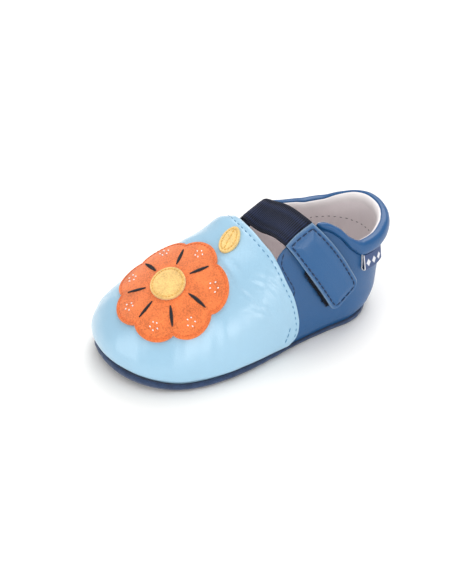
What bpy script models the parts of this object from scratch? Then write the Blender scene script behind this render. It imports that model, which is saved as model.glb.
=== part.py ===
"""Baby's soft leather shoe, left foot: turned sole, lapped vamp, padded collar and touch-fastening strap.

The toe points to -Y, the outer (lateral) side to +X, and the sole stands on Z = 0.
Tables and sizes are millimetres. A station is the distance from the heel back towards the toe, and
across is the distance from the middle line, positive on the lateral side. Objects are built in metres.
"""
import bmesh
import bpy
import numpy as np

MM = 0.001
GAP = 0.3

# Plan of the last
LENGTH = 126.6
HEEL_CENTRE = 25.0
TOE_CENTRE = 89.4
HEEL_HALF = 23.6
BALL_HALF_LATERAL = 31.7
BALL_HALF_MEDIAL = 30.7
WAIST_CUT_LATERAL = 0.5
WAIST_CUT_MEDIAL = 2.0
HEEL_SQUARENESS = 2.15
TOE_SQUARENESS = 2.29
TOE_SWING = 3.6
SWING_START = 60.0

# Feather line, where upper and sole meet: station, height, bulge of the sole's edge
RIM = (
    (0.0, 2.3, 0.3),
    (25.0, 2.0, 0.35),
    (46.0, 1.7, 0.45),
    (62.0, 2.1, 0.8),
    (85.0, 2.9, 1.0),
    (105.0, 3.3, 1.0),
    (118.0, 5.2, 1.0),
    (126.6, 7.0, 1.0),
)
TUCK = 1.6
TUCK_HEIGHT = 10.0
HEEL_TUCK = 3.2

# Backward lean of the heel
HEEL_FLARE = 5.6
HEEL_FLARE_HEIGHT = 40.0
HEEL_FLARE_POWER = 1.2

# Sections of the last: station, crown height above the rim, wall exponent, crown exponent
SECTIONS = (
    (0.0, 113.7, 3.6, 2.0),
    (25.0, 100.0, 3.5, 2.0),
    (48.0, 60.3, 2.7, 2.0),
    (62.0, 49.5, 2.4, 2.05),
    (89.4, 37.1, 2.3, 2.1),
    (126.6, 25.4, 2.2, 2.1),
)
SECTION_REACH = 0.6
STRAND_BLEND = 15.0

# Wall and skins
UPPER_WALL = 1.6
VAMP_THICKNESS = 1.1
VAMP_GAP = 0.4
VAMP_LAP = 1.2
VAMP_FOOT = 1.4

# Rear edge of the vamp: foot station on the rim, station of the edge, height as a share of the crown
VAMP_EDGE = (
    (126.6, 60.2, 1.0),
    (112.0, 59.8, 0.978),
    (95.0, 58.7, 0.914),
    (84.0, 57.2, 0.843),
    (77.0, 55.9, 0.75),
    (71.5, 54.0, 0.60),
    (67.5, 51.4, 0.443),
    (63.5, 49.9, 0.30),
    (61.0, 49.4, 0.215),
    (59.0, 49.8, 0.15),
    (57.5, 50.8, 0.105),
    (56.5, 52.4, 0.07),
)

# Front flap of the quarter, from the notch at the vamp to the collar: foot station, station, height
FLAP_LATERAL = (
    (72.0, 56.6, 41.4),
    (67.0, 55.2, 43.8),
    (61.0, 52.6, 46.2),
    (52.0, 47.0, 49.8),
    (45.0, 42.6, 52.6),
)
FLAP_MEDIAL = (
    (72.0, 57.0, 39.0),
    (67.0, 55.8, 40.4),
    (61.0, 53.0, 41.2),
    (52.0, 47.0, 41.8),
    (45.0, 42.6, 42.3),
)

# Top of the collar: station, lateral height, medial height, height of the padded roll
COLLAR = (
    (0.0, 43.6, 43.6, 7.6),
    (5.0, 42.8, 39.4, 7.6),
    (10.0, 41.7, 37.4, 7.5),
    (16.0, 41.7, 37.3, 7.2),
    (22.0, 45.2, 38.8, 5.9),
    (28.0, 51.8, 40.3, 4.7),
    (34.0, 55.4, 42.4, 3.4),
    (40.0, 56.4, 44.5, 2.6),
)
COLLAR_THICKNESS = 5.8
COLLAR_TIP_THICKNESS = 2.6
COLLAR_SHIFT = 0.1
COLLAR_FRONT = 37.5
COLLAR_STEPS = 17
COLLAR_ROUNDNESS = 2.4

# Turned edge of the sole from the rim down: share of its bulge, drop as a share of its height
SOLE_EDGE = (
    (0.0, 0.0),
    (1.0, 0.45),
    (0.2, 0.80),
)

# Sole and sock
SOLE_THICKNESS = 1.3
SOLE_LIP = 2.0
SOLE_FLAT_INSET = 2.8
ARCH_LIFT = 0.4
ARCH_START, ARCH_END = 36.0, 68.0
TOE_LIFT = 3.0
TOE_LIFT_START = 98.0
HEEL_LIFT = 1.2
HEEL_LIFT_END = 9.0
SOCK_THICKNESS = 1.6
SOCK_INSET = 3.6

# Strap tab on the lateral side: station and height of its corners on the wall
TAB_TOP_REAR = (39.6, 57.4)
TAB_TOP_FRONT = (51.2, 48.4)
TAB_END_REAR = (20.3, 23.0)
TAB_END_FRONT = (32.3, 13.2)
TAB_BOW = 1.6
TAB_BOW_POWER = 0.7
TAB_LENGTH = 42.0
TAB_CORNER = 4.0
TAB_STANDOFF = 2.2
TAB_THICKNESS = 1.4
PATCH_THICKNESS = 1.6
PATCH_START, PATCH_END = 0.36, 0.93
PATCH_INSET = 0.12

# Elastic over the instep, medial end first: across, station, height of its rear edge, then of its front edge
ELASTIC = (
    (-17.6, 41.5, 39.5, -15.9, 53.0, 34.5),
    (-17.0, 41.5, 43.5, -15.6, 53.0, 38.8),
    (-16.2, 41.5, 47.5, -15.4, 53.0, 42.8),
    (-13.2, 41.2, 50.2, -12.8, 52.8, 44.4),
    (-8.0, 40.6, 51.8, -8.0, 52.4, 43.4),
    (-2.0, 40.2, 54.2, -2.0, 52.1, 44.1),
    (6.0, 40.0, 56.2, 6.0, 52.0, 46.8),
    (12.5, 40.0, 57.0, 12.5, 52.0, 48.6),
)
ELASTIC_THICKNESS = 1.2
ELASTIC_TUCKED = 0.12
ELASTIC_GAP = 0.7

# Folded tag under the collar on the lateral heel
LABEL_START, LABEL_END = 0.766, 0.850
LABEL_TOP_DROP = 0.6
LABEL_DROP = 6.0
LABEL_THICKNESS = 0.6
LABEL_LOOP = 2.2

# Applique on the vamp, measured over its surface from the middle of the flower
FLOWER_STATION = 98.0
FLOWER_ACROSS = 6.0
FLOWER_RADIUS = 24.0
APPLIQUE_GAP = 0.55
PETALS = 7
PETAL_DEPTH = 3.2
PETAL_ROUNDNESS = 0.7
FLOWER_TURN = 0.25
FLOWER_THICKNESS = 1.1
CENTRE_RADIUS = 7.2
CENTRE_THICKNESS = 0.8
LEAF_STATION = 68.9
LEAF_ACROSS = 4.0
LEAF_LENGTH = 6.6
LEAF_HALF_WIDTH = 4.0
LEAF_TURN = 0.5

# Middle of the whole box, so that the part stands centred on its origin
CENTRE_STATION = 59.8
CENTRE_ACROSS = -0.2

# Shares of the way round from toe to heel taken by the toe curve and reached by the straight side
TOE_PART = 0.36
HEEL_PART = 0.70

# Mesh sizes
TOE_STEPS = 13
SIDE_STEPS = 12
HEEL_STEPS = 9
WALL_ROWS = 13
VAMP_STEPS = 22
VAMP_CROWDING = 1.4
DISC_RINGS = (0.0, 0.4, 0.72, 1.0)
COLLAR_SIDES = 12
TAB_ROWS = 9
TAB_CORNER_ROWS = (0.945, 0.975, 0.993, 1.0)
TAB_COLUMNS = 6
PATCH_ROWS = 9
PATCH_COLUMNS = 5
ELASTIC_STEPS = 14
ELASTIC_COLUMNS = 4
LABEL_STEPS = 5
LABEL_FOLD_STEPS = 7
FLOWER_STEPS = 63
ROUND_STEPS = 28
CUT_OUT_RINGS = (1.0, 0.75, 0.5, 0.25)
RAY_STEPS = 160

# Finishes: linear colour, roughness, metallic
FINISHES = {
    "sole_suede": ((0.040, 0.070, 0.150, 1.0), 0.92, 0.0),
    "sock_leather": ((0.60, 0.53, 0.50, 1.0), 0.70, 0.0),
    "quarter_leather": ((0.055, 0.150, 0.330, 1.0), 0.48, 0.0),
    "vamp_leather": ((0.450, 0.690, 0.850, 1.0), 0.42, 0.0),
    "collar_leather": ((0.050, 0.145, 0.320, 1.0), 0.48, 0.0),
    "elastic_webbing": ((0.022, 0.030, 0.060, 1.0), 0.85, 0.0),
    "tab_leather": ((0.060, 0.155, 0.340, 1.0), 0.45, 0.0),
    "hook_patch": ((0.012, 0.014, 0.022, 1.0), 0.90, 0.0),
    "woven_tag": ((0.040, 0.080, 0.200, 1.0), 0.80, 0.0),
    "petal_suede": ((0.810, 0.235, 0.060, 1.0), 0.90, 0.0),
    "centre_suede": ((0.850, 0.600, 0.200, 1.0), 0.90, 0.0),
    "leaf_suede": ((0.850, 0.640, 0.270, 1.0), 0.90, 0.0),
}


def smooth(x, xs, ys):
    """Monotone cubic through the rows (xs, ys), with xs rising."""
    xs = np.asarray(xs, float)
    ys = np.asarray(ys, float)
    step = np.diff(xs)
    slope = np.diff(ys) / step
    tangent = np.zeros(len(xs))
    tangent[0] = slope[0]
    tangent[-1] = slope[-1]
    same = slope[:-1] * slope[1:] > 0
    weight_a = 2 * step[1:] + step[:-1]
    weight_b = step[1:] + 2 * step[:-1]
    safe_a = np.where(same, slope[:-1], 1.0)
    safe_b = np.where(same, slope[1:], 1.0)
    mean = (weight_a + weight_b) / (weight_a / safe_a + weight_b / safe_b)
    tangent[1:-1] = np.where(same, mean, 0.0)
    x = np.clip(np.asarray(x, float), xs[0], xs[-1])
    cell = np.clip(np.searchsorted(xs, x, side="right") - 1, 0, len(step) - 1)
    u = (x - xs[cell]) / step[cell]
    start = (1 + 2 * u) * (1 - u) ** 2 * ys[cell] + u * (1 - u) ** 2 * step[cell] * tangent[cell]
    finish = u * u * (3 - 2 * u) * ys[cell + 1] + u * u * (u - 1) * step[cell] * tangent[cell + 1]
    return start + finish


def column(table, index):
    """One named column of a table as an array."""
    return np.array([row[index] for row in table], float)


def crown_height(station):
    """Height of the last's crown above the rim."""
    return smooth(station, column(SECTIONS, 0), column(SECTIONS, 1))


def wall_exponent(station):
    """Exponent of the plan share in the wall's section: higher is more upright."""
    return smooth(station, column(SECTIONS, 0), column(SECTIONS, 2))


def crown_exponent(station):
    """Exponent of the rise in the wall's section: higher is a fuller crown."""
    return smooth(station, column(SECTIONS, 0), column(SECTIONS, 3))


def rim_height(station):
    """Height of the feather line, low at the waist and lifted at the toe."""
    return smooth(station, column(RIM, 0), column(RIM, 1))


def swing(station):
    """Sideways shift of the forefoot towards the medial side."""
    share = np.clip((station - SWING_START) / (LENGTH - SWING_START), 0, None)
    return -TOE_SWING * share ** 2


def half_width(station, side):
    """Half width of the plan from heel to ball, drawn in at the waist."""
    ball = np.where(side > 0, BALL_HALF_LATERAL, BALL_HALF_MEDIAL)
    waist = np.where(side > 0, WAIST_CUT_LATERAL, WAIST_CUT_MEDIAL)
    share = np.clip((station - HEEL_CENTRE) / (TOE_CENTRE - HEEL_CENTRE), 0, 1)
    rise = share * share * (3 - 2 * share)
    return HEEL_HALF + (ball - HEEL_HALF) * rise - waist * np.sin(np.pi * share) ** 2


def spine_rays(station, across):
    """For plan points: spine station, unit direction away from it, distance gone and full reach."""
    side = np.where(across >= 0, 1, -1)
    spine = np.clip(station, HEEL_CENTRE, TOE_CENTRE)
    gone = np.hypot(station - spine, across)
    safe = np.maximum(gone, 1e-9)
    along = np.where(gone > 1e-9, (station - spine) / safe, 0.0)
    out = np.where(gone > 1e-9, across / safe, side)
    front = np.where(along > 0, LENGTH - TOE_CENTRE, HEEL_CENTRE)
    power = np.where(along > 0, TOE_SQUARENESS, HEEL_SQUARENESS)
    half = half_width(spine, side)
    reach = ((np.abs(along) / front) ** power + (np.abs(out) / half) ** power) ** (-1 / power)
    return spine, along, out, gone, reach


def foot_tuck(along):
    """How far the wall is drawn in at the rim, more at the heel back."""
    return TUCK + HEEL_TUCK * np.clip(-along, 0, 1) ** 2


def lift(station, across):
    """Plan points raised on to the last: superelliptic wall, tucked in at the foot, toe swung medially."""
    spine, along, out, gone, reach = spine_rays(station, across)
    section = spine + SECTION_REACH * reach * along
    share = np.clip(gone / reach, 0, 1)
    rise = (1 - share ** wall_exponent(section)) ** (1 / crown_exponent(section))
    rim = rim_height(station)
    height = rim + crown_height(station) * rise
    tuck = foot_tuck(along) * np.clip(1 - (height - rim) / TUCK_HEIGHT, 0, 1) ** 2
    lean = np.clip((height - rim) / HEEL_FLARE_HEIGHT, 0, None) ** HEEL_FLARE_POWER
    move = HEEL_FLARE * lean * np.clip(-along, 0, 1) ** 2 - tuck
    return np.stack([across + move * out + swing(station), station + move * along, height], -1)


def wall_share(station, height):
    """Plan share, from middle line to outline, of the wall at a height."""
    rise = np.clip((height - rim_height(station)) / crown_height(station), 0, 1)
    return (1 - rise ** crown_exponent(station)) ** (1 / wall_exponent(station))


def side_across(station, height, side):
    """Distance from the middle line of the wall at a station and height."""
    share = wall_share(station, height)
    back = np.clip((HEEL_CENTRE - station) / (HEEL_CENTRE * np.maximum(share, 1e-6)), 0, 1)
    fan = (1 - back ** HEEL_SQUARENESS) ** (1 / HEEL_SQUARENESS)
    return side * share * fan * half_width(np.maximum(station, HEEL_CENTRE), side)


def outline(around):
    """Plan outline of the last: around runs from -1 (heel, medial) by 0 (toe) to 1 (heel, lateral)."""
    side = np.where(around >= 0, 1, -1)
    share = np.abs(around)
    toe_angle = np.clip(share / TOE_PART, 0, 1) * np.pi / 2
    heel_angle = np.clip((share - HEEL_PART) / (1 - HEEL_PART), 0, 1) * np.pi / 2
    middle = np.clip((share - TOE_PART) / (HEEL_PART - TOE_PART), 0, 1)
    spine = TOE_CENTRE + (HEEL_CENTRE - TOE_CENTRE) * middle
    along = np.cos(toe_angle) - np.sin(heel_angle)
    out = side * np.sin(toe_angle) * np.cos(heel_angle)
    reach = spine_rays(spine + along, out)[4]
    return spine + reach * along, reach * out


def side_around(station):
    """Position round the outline of a station on the straight side."""
    return TOE_PART + (HEEL_PART - TOE_PART) * (TOE_CENTRE - station) / (TOE_CENTRE - HEEL_CENTRE)


def around_steps():
    """Positions round the outline, closer together at toe and heel."""
    toe = np.linspace(0, TOE_PART, TOE_STEPS)[:-1]
    side = np.linspace(TOE_PART, HEEL_PART, SIDE_STEPS)[:-1]
    heel = np.linspace(HEEL_PART, 1.0, HEEL_STEPS)
    lateral = np.concatenate([toe, side, heel])
    return np.concatenate([-lateral[:0:-1], lateral[:-1]])


def strands(foot, edge, rows, foot_rise):
    """Grid of plan points from just above the outline to an edge, spaced evenly in the rise of the wall."""
    foot_station, foot_across = foot
    edge_station, edge_across = edge
    _, _, _, gone, reach = spine_rays(edge_station, edge_across)
    share = np.clip(gone / reach, 0, 1)
    power = wall_exponent(edge_station)
    end_angle = np.arccos(share ** (power / 2))
    start_angle = np.minimum(np.arcsin(foot_rise / crown_height(foot_station)), end_angle / 2)
    angle = start_angle + (end_angle - start_angle) * np.linspace(0, 1, rows)[:, None]
    travel = (1 - np.cos(angle) ** (2 / power)) / (1 - share)
    station = foot_station + (edge_station - foot_station) * travel
    straight = foot_across + (edge_across - foot_across) * travel
    side = np.where(foot_across >= 0, 1, -1)
    along_wall = side * (1 - (1 - share) * travel) * half_width(station, side)
    blend = np.clip((TOE_CENTRE - foot_station) / STRAND_BLEND, 0, 1) * (foot_station >= HEEL_CENTRE)
    return station, straight + (along_wall - straight) * blend


def moved(points, distance, closed):
    """A grid of points moved outward along its own normals."""
    if closed:
        padded = np.concatenate([points[:, -1:], points, points[:, :1]], axis=1)
        along = (padded[:, 2:] - padded[:, :-2]) / 2
    else:
        along = np.gradient(points, axis=1)
    up = np.gradient(points, axis=0)
    normal = np.cross(up, along)
    normal /= np.maximum(np.linalg.norm(normal, axis=-1, keepdims=True), 1e-12)
    return points + distance * normal


def edge_points(around, table_lateral, table_medial):
    """Plan points of a top edge given as rows of foot station, station and height for each side."""
    foot_station, foot_across = outline(around)
    station = np.zeros(len(around))
    across = np.zeros(len(around))
    for side, table in ((1, table_lateral), (-1, table_medial)):
        here = np.where(around >= 0, 1, -1) == side
        rows = np.array(sorted(table))
        edge = smooth(foot_station[here], rows[:, 0], rows[:, 1])
        height = smooth(foot_station[here], rows[:, 0], rows[:, 2])
        on_side = side_across(edge, height, side)
        share = wall_share(edge, height)
        heel = foot_station[here] < HEEL_CENTRE
        station[here] = np.where(heel, HEEL_CENTRE + share * (foot_station[here] - HEEL_CENTRE), edge)
        across[here] = np.where(heel, share * foot_across[here], on_side)
    return station, across


def heights(table, shift):
    """Rows of a table in crown shares turned into heights, with the edge moved towards the toe."""
    rows = []
    for foot, station, share in table:
        edge = station + shift
        rows.append((foot, edge, float(rim_height(edge) + share * crown_height(edge))))
    return rows


def upper_table(flap, side_index):
    """Whole top edge of one side of the upper: throat, flap and the seam under the collar."""
    throat = [row for row in heights(VAMP_EDGE, VAMP_LAP) if row[0] >= VAMP_EDGE[4][0]]
    seam = [(row[0], row[0], row[side_index] - row[3] - GAP) for row in COLLAR]
    return throat + list(flap) + seam


def world(points):
    """Shoe millimetres to metres in the part's frame."""
    place = np.array([CENTRE_ACROSS, CENTRE_STATION, 0.0])
    return (points - place) * np.array([1, -1, 1]) * MM


def finish_object(obj, finish):
    """Give an object its own material."""
    colour, roughness, metallic = FINISHES[finish]
    material = bpy.data.materials.new(finish)
    material.use_nodes = True
    shader = material.node_tree.nodes["Principled BSDF"]
    shader.inputs["Base Color"].default_value = colour
    shader.inputs["Roughness"].default_value = roughness
    shader.inputs["Metallic"].default_value = metallic
    material.diffuse_color = colour
    obj.data.materials.append(material)


def grid_faces(rows, columns, closed):
    """Quads of a grid, wound so that up x along faces out."""
    last = columns if closed else columns - 1
    quads = []
    for row in range(rows - 1):
        for col in range(last):
            ahead = (col + 1) % columns
            lower, upper = row * columns, (row + 1) * columns
            quads.append((lower + col, lower + ahead, upper + ahead, upper + col))
    return quads


def mesh_object(name, points, faces, finish, collection):
    """A mesh object from shoe points, with touching points merged."""
    mesh = bpy.data.meshes.new(name)
    mesh.from_pydata(world(points.reshape(-1, 3)).tolist(), [], faces)
    work = bmesh.new()
    work.from_mesh(mesh)
    bmesh.ops.remove_doubles(work, verts=work.verts, dist=0.05 * MM)
    bmesh.ops.dissolve_degenerate(work, edges=work.edges, dist=0.01 * MM)
    work.to_mesh(mesh)
    work.free()
    obj = bpy.data.objects.new(name, mesh)
    collection.objects.link(obj)
    finish_object(obj, finish)
    return obj


def shell(name, points, thickness, finish, collection, closed=False):
    """An open grid thickened outward, or inward when the thickness is negative."""
    rows, columns = points.shape[:2]
    obj = mesh_object(name, points, grid_faces(rows, columns, closed), finish, collection)
    solid = obj.modifiers.new("wall", "SOLIDIFY")
    solid.thickness = abs(thickness) * MM
    solid.offset = 1.0 if thickness > 0 else -1.0
    solid.use_quality_normals = True
    return obj


def build_upper(collection):
    """Hollow wall of quarter and lining, open at the collar, the throat and underneath."""
    around = around_steps()
    edge = edge_points(around, upper_table(FLAP_LATERAL, 1), upper_table(FLAP_MEDIAL, 2))
    station, across = strands(outline(around), edge, WALL_ROWS, GAP)
    shell("upper", lift(station, across), -UPPER_WALL, "quarter_leather", collection, closed=True)


def vamp_grid(around, rows):
    """Outer face of the upper under the vamp, from the rim to the vamp's rear edge."""
    table = heights(VAMP_EDGE, 0.0)
    edge = edge_points(around, table, table)
    station, across = strands(outline(around), edge, rows, VAMP_FOOT)
    return lift(station, across)


def build_vamp(collection):
    """Light leather lapped over the toe and instep."""
    corner = side_around(VAMP_EDGE[-1][0])
    share = np.linspace(0, 1, VAMP_STEPS)
    lateral = corner * (1 - (1 - share) ** VAMP_CROWDING)
    around = np.concatenate([-lateral[:0:-1], lateral])
    points = vamp_grid(around, WALL_ROWS)
    shell("vamp", moved(points, VAMP_GAP, False), VAMP_THICKNESS, "vamp_leather", collection)


def bottom_lift(station):
    """Height of the sole's underside along the foot, flat at heel and forefoot."""
    toe = np.clip((station - TOE_LIFT_START) / (LENGTH - TOE_LIFT_START), 0, 1)
    heel = np.clip(1 - station / HEEL_LIFT_END, 0, 1)
    arch = np.clip((station - ARCH_START) / (ARCH_END - ARCH_START), 0, 1)
    return TOE_LIFT * toe ** 2 + HEEL_LIFT * heel ** 2 + ARCH_LIFT * np.sin(np.pi * arch) ** 2


def disc(around, inset, share):
    """Plan points at a share of the way from the spine to the rim brought in by an inset."""
    station, across = outline(around)
    spine, along, out, gone, _ = spine_rays(station, across)
    reach = (gone - foot_tuck(along) - inset) * share
    return spine + reach * along, reach * out


def disc_ring(around, inset, share, drop, rise):
    """Ring of shoe points on a disc, dropped by a share of the way from rim to underside, plus a rise."""
    station, across = disc(around, inset, share)
    rim = rim_height(station)
    height = rim - drop * (rim - bottom_lift(station)) + rise
    return np.stack([across + swing(station), station, height], -1)


def build_outsole(collection):
    """Suede dish: underside flat at heel and forefoot, rounded shoulder, turned-up edge and inner floor."""
    around = around_steps()
    underside = [disc_ring(around, SOLE_FLAT_INSET, share, 1.0, 0.0) for share in DISC_RINGS]
    bulge = smooth(outline(around)[0], column(RIM, 0), column(RIM, 2))
    edge = [disc_ring(around, -share * bulge, 1.0, drop, 0.0) for share, drop in SOLE_EDGE[::-1]]
    lip = [disc_ring(around, SOLE_LIP, 1.0, 0.0, 0.0)]
    floor = [disc_ring(around, SOLE_FLAT_INSET, share, 1.0, SOLE_THICKNESS) for share in DISC_RINGS[::-1]]
    points = np.stack(underside + edge + lip + floor)
    mesh_object("outsole", points, grid_faces(len(points), len(around), True), "sole_suede", collection)


def build_insole(collection):
    """Pale sock lying in the sole."""
    around = around_steps()
    rise = SOLE_THICKNESS + GAP
    points = np.stack([disc_ring(around, SOCK_INSET, share, 1.0, rise) for share in DISC_RINGS])
    shell("insole", points, -SOCK_THICKNESS, "sock_leather", collection, closed=True)


def build_collar(collection):
    """Padded roll on the top of the quarter, thinning to its two front ends."""
    lateral = np.linspace(side_around(COLLAR_FRONT), 1.0, COLLAR_STEPS)
    path = np.concatenate([lateral, -lateral[-2::-1]])
    station, _ = outline(path)
    side_column = np.where(path > 0, 1, 2)
    stations = column(COLLAR, 0)
    top = np.where(
        side_column == 1,
        smooth(station, stations, column(COLLAR, 1)),
        smooth(station, stations, column(COLLAR, 2)),
    )
    roll = smooth(station, stations, column(COLLAR, 3)) - GAP
    fullness = np.clip((roll + GAP - COLLAR[-1][3]) / (COLLAR[0][3] - COLLAR[-1][3]), 0, 1)
    thick = COLLAR_TIP_THICKNESS + (COLLAR_THICKNESS - COLLAR_TIP_THICKNESS) * fullness
    middle = top - roll / 2
    foot = outline(path)
    share = wall_share(station, middle)
    spine, along, out, gone, _ = spine_rays(*foot)
    centre = lift(spine + share * gone * along, share * gone * out)
    shift = COLLAR_SHIFT * fullness - UPPER_WALL / 2 * (1 - fullness)
    angle = np.linspace(0, 2 * np.pi, COLLAR_SIDES, endpoint=False)
    wide = np.sign(np.cos(angle)) * np.abs(np.cos(angle)) ** (2 / COLLAR_ROUNDNESS)
    tall = np.sign(np.sin(angle)) * np.abs(np.sin(angle)) ** (2 / COLLAR_ROUNDNESS)
    reach = shift[:, None] + thick[:, None] / 2 * wide
    points = np.empty((len(path), COLLAR_SIDES, 3))
    points[:, :, 0] = centre[:, None, 0] + reach * out[:, None]
    points[:, :, 1] = centre[:, None, 1] + reach * along[:, None]
    points[:, :, 2] = middle[:, None] + roll[:, None] / 2 * tall
    faces = [quad[::-1] for quad in grid_faces(len(path), COLLAR_SIDES, True)]
    last = (len(path) - 1) * COLLAR_SIDES
    faces.append(tuple(range(COLLAR_SIDES)))
    faces.append(tuple(range(last + COLLAR_SIDES - 1, last - 1, -1)))
    mesh_object("collar", points, faces, "collar_leather", collection)


def tab_points(along, wide):
    """Wall points under the strap: along runs down the tab, wide from its rear to its front edge."""
    top = np.array([TAB_TOP_REAR, TAB_TOP_FRONT])
    end = np.array([TAB_END_REAR, TAB_END_FRONT])
    rear = top[0] + (end[0] - top[0]) * along[..., None]
    rear[..., 0] -= TAB_BOW * np.abs(np.sin(np.pi * along)) ** TAB_BOW_POWER
    front = top[1] + (end[1] - top[1]) * along[..., None]
    place = rear + (front - rear) * wide[..., None]
    return lift(place[..., 0], side_across(place[..., 0], place[..., 1], 1))


def build_tab(collection):
    """Leather tab with a rounded end, and the fastening patch under it."""
    corner = 1 - TAB_CORNER / TAB_LENGTH
    along = np.concatenate([np.linspace(0, corner, TAB_ROWS), TAB_CORNER_ROWS])
    into_corner = np.clip((along - corner) * TAB_LENGTH, 0, TAB_CORNER)
    cut = TAB_CORNER - np.sqrt(TAB_CORNER ** 2 - into_corner ** 2)
    width = np.hypot(*(np.array(TAB_TOP_FRONT) - np.array(TAB_TOP_REAR)))
    side = (0.5 - cut / width)[:, None] * np.linspace(-1, 1, TAB_COLUMNS)
    points = tab_points(np.broadcast_to(along[:, None], side.shape), side + 0.5)
    points = moved(points, TAB_STANDOFF, False)
    shell("strap_tab", points, TAB_THICKNESS, "tab_leather", collection)
    along = np.linspace(PATCH_START, PATCH_END, PATCH_ROWS)
    wide = np.linspace(PATCH_INSET, 1 - PATCH_INSET, PATCH_COLUMNS)
    points = moved(tab_points(*np.meshgrid(along, wide, indexing="ij")), GAP, False)
    shell("hook_patch", points, PATCH_THICKNESS, "hook_patch", collection)


def build_elastic(collection):
    """Elastic band from inside the medial flap, over the instep, to the underside of the tab."""
    wide = np.linspace(0, 1, ELASTIC_COLUMNS)
    path = np.linspace(0, 1, ELASTIC_STEPS)
    rows = np.linspace(0, 1, len(ELASTIC))
    edges = np.stack([smooth(path, rows, column(ELASTIC, k)) for k in range(6)], axis=1)
    rear = edges[:, None, :3]
    front = edges[:, None, 3:]
    free = rear + (front - rear) * wide[None, :, None]
    along = np.linspace(0.0, ELASTIC_TUCKED, ELASTIC_COLUMNS)
    tucked = tab_points(*np.meshgrid(along, wide, indexing="ij"))
    tucked = moved(tucked, ELASTIC_GAP, False)
    points = np.concatenate([free, tucked])
    shell("strap_elastic", points, ELASTIC_THICKNESS, "elastic_webbing", collection)


def build_label(collection):
    """Folded tag hanging from the collar seam: two layers joined by a round fold."""
    around = np.linspace(LABEL_START, LABEL_END, LABEL_STEPS)
    station, across = outline(around)
    stations = column(COLLAR, 0)
    seam = smooth(station, stations, column(COLLAR, 1)) - smooth(station, stations, column(COLLAR, 3))
    high = seam - LABEL_TOP_DROP
    low = high - LABEL_DROP
    turn = np.linspace(0, np.pi, LABEL_FOLD_STEPS)
    bulge = LABEL_LOOP / 2
    drop = np.concatenate([[0.0, 0.5], 1.0 + 0 * turn, [0.5, 0.0]])
    sag = np.concatenate([[0.0, 0.0], -bulge * np.sin(turn), [0.0, 0.0]])
    off = np.concatenate([[0.0, 0.0], bulge * (1 - np.cos(turn)), [LABEL_LOOP, LABEL_LOOP]])
    spine, along, out, gone, _ = spine_rays(station, across)
    points = np.empty((len(drop), len(around), 3))
    for row in range(len(drop)):
        height = high + (low - high) * drop[row]
        share = wall_share(station, height)
        base = lift(spine + share * gone * along, share * gone * out)
        reach = GAP + LABEL_THICKNESS + off[row]
        points[row, :, 0] = base[:, 0] + reach * out
        points[row, :, 1] = base[:, 1] + reach * along
        points[row, :, 2] = height + sag[row]
    shell("heel_label", points, LABEL_THICKNESS, "woven_tag", collection)


def surface_polar(station, across, angle, radius):
    """Plan points at distances measured over the last from a middle point, one ray for each angle."""
    reach = np.linspace(0, 2 * radius.max(), RAY_STEPS)
    ray_station = station + reach * np.cos(angle)[:, None]
    ray_across = across + reach * np.sin(angle)[:, None]
    path = lift(ray_station, ray_across)
    length = np.linalg.norm(np.diff(path, axis=1), axis=-1).cumsum(axis=1)
    length = np.concatenate([np.zeros((len(angle), 1)), length], axis=1)
    plan = np.stack([np.interp(r, row, reach) for r, row in zip(radius, length)])
    return station + plan * np.cos(angle), across + plan * np.sin(angle)


def patch_shell(name, place, angle, radius, rise, thickness, finish, collection):
    """A cut-out laid on the vamp: rings from its middle to an outline given as a radius at each angle."""
    rings = [lift(*surface_polar(*place, angle, radius * share)) for share in CUT_OUT_RINGS]
    points = moved(np.stack(rings), rise, True)
    tip = lift(np.array([place[0]]), np.array([place[1]])) + np.array([0, 0, rise])
    points = np.concatenate([points, np.broadcast_to(tip, (1,) + points.shape[1:])])
    shell(name, points, thickness, finish, collection, closed=True)


def build_applique(collection):
    """Flower with a round middle, and a leaf near the throat."""
    on_vamp = VAMP_GAP + VAMP_THICKNESS + APPLIQUE_GAP
    angle = np.linspace(0, 2 * np.pi, FLOWER_STEPS, endpoint=False)
    lobe = np.abs(np.sin(PETALS * (angle - FLOWER_TURN) / 2)) ** PETAL_ROUNDNESS
    radius = FLOWER_RADIUS - PETAL_DEPTH + PETAL_DEPTH * lobe
    place = (FLOWER_STATION, FLOWER_ACROSS)
    patch_shell("flower_petals", place, angle, radius, on_vamp, FLOWER_THICKNESS, "petal_suede", collection)
    round_angle = np.linspace(0, 2 * np.pi, ROUND_STEPS, endpoint=False)
    radius = np.full(len(round_angle), CENTRE_RADIUS)
    rise = on_vamp + FLOWER_THICKNESS + APPLIQUE_GAP
    thickness = CENTRE_THICKNESS
    patch_shell("flower_centre", place, round_angle, radius, rise, thickness, "centre_suede", collection)
    turned = round_angle - LEAF_TURN
    radius = LEAF_LENGTH * LEAF_HALF_WIDTH / np.hypot(
        LEAF_HALF_WIDTH * np.cos(turned), LEAF_LENGTH * np.sin(turned)
    )
    place = (LEAF_STATION, LEAF_ACROSS)
    patch_shell("leaf_patch", place, round_angle, radius, on_vamp, CENTRE_THICKNESS, "leaf_suede", collection)


def main():
    """Clear the scene and build every piece of the shoe."""
    for obj in list(bpy.data.objects):
        bpy.data.objects.remove(obj, do_unlink=True)
    collection = bpy.data.collections.new("baby_shoe")
    bpy.context.scene.collection.children.link(collection)
    build_outsole(collection)
    build_insole(collection)
    build_upper(collection)
    build_vamp(collection)
    build_collar(collection)
    build_tab(collection)
    build_elastic(collection)
    build_label(collection)
    build_applique(collection)


main()
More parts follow.
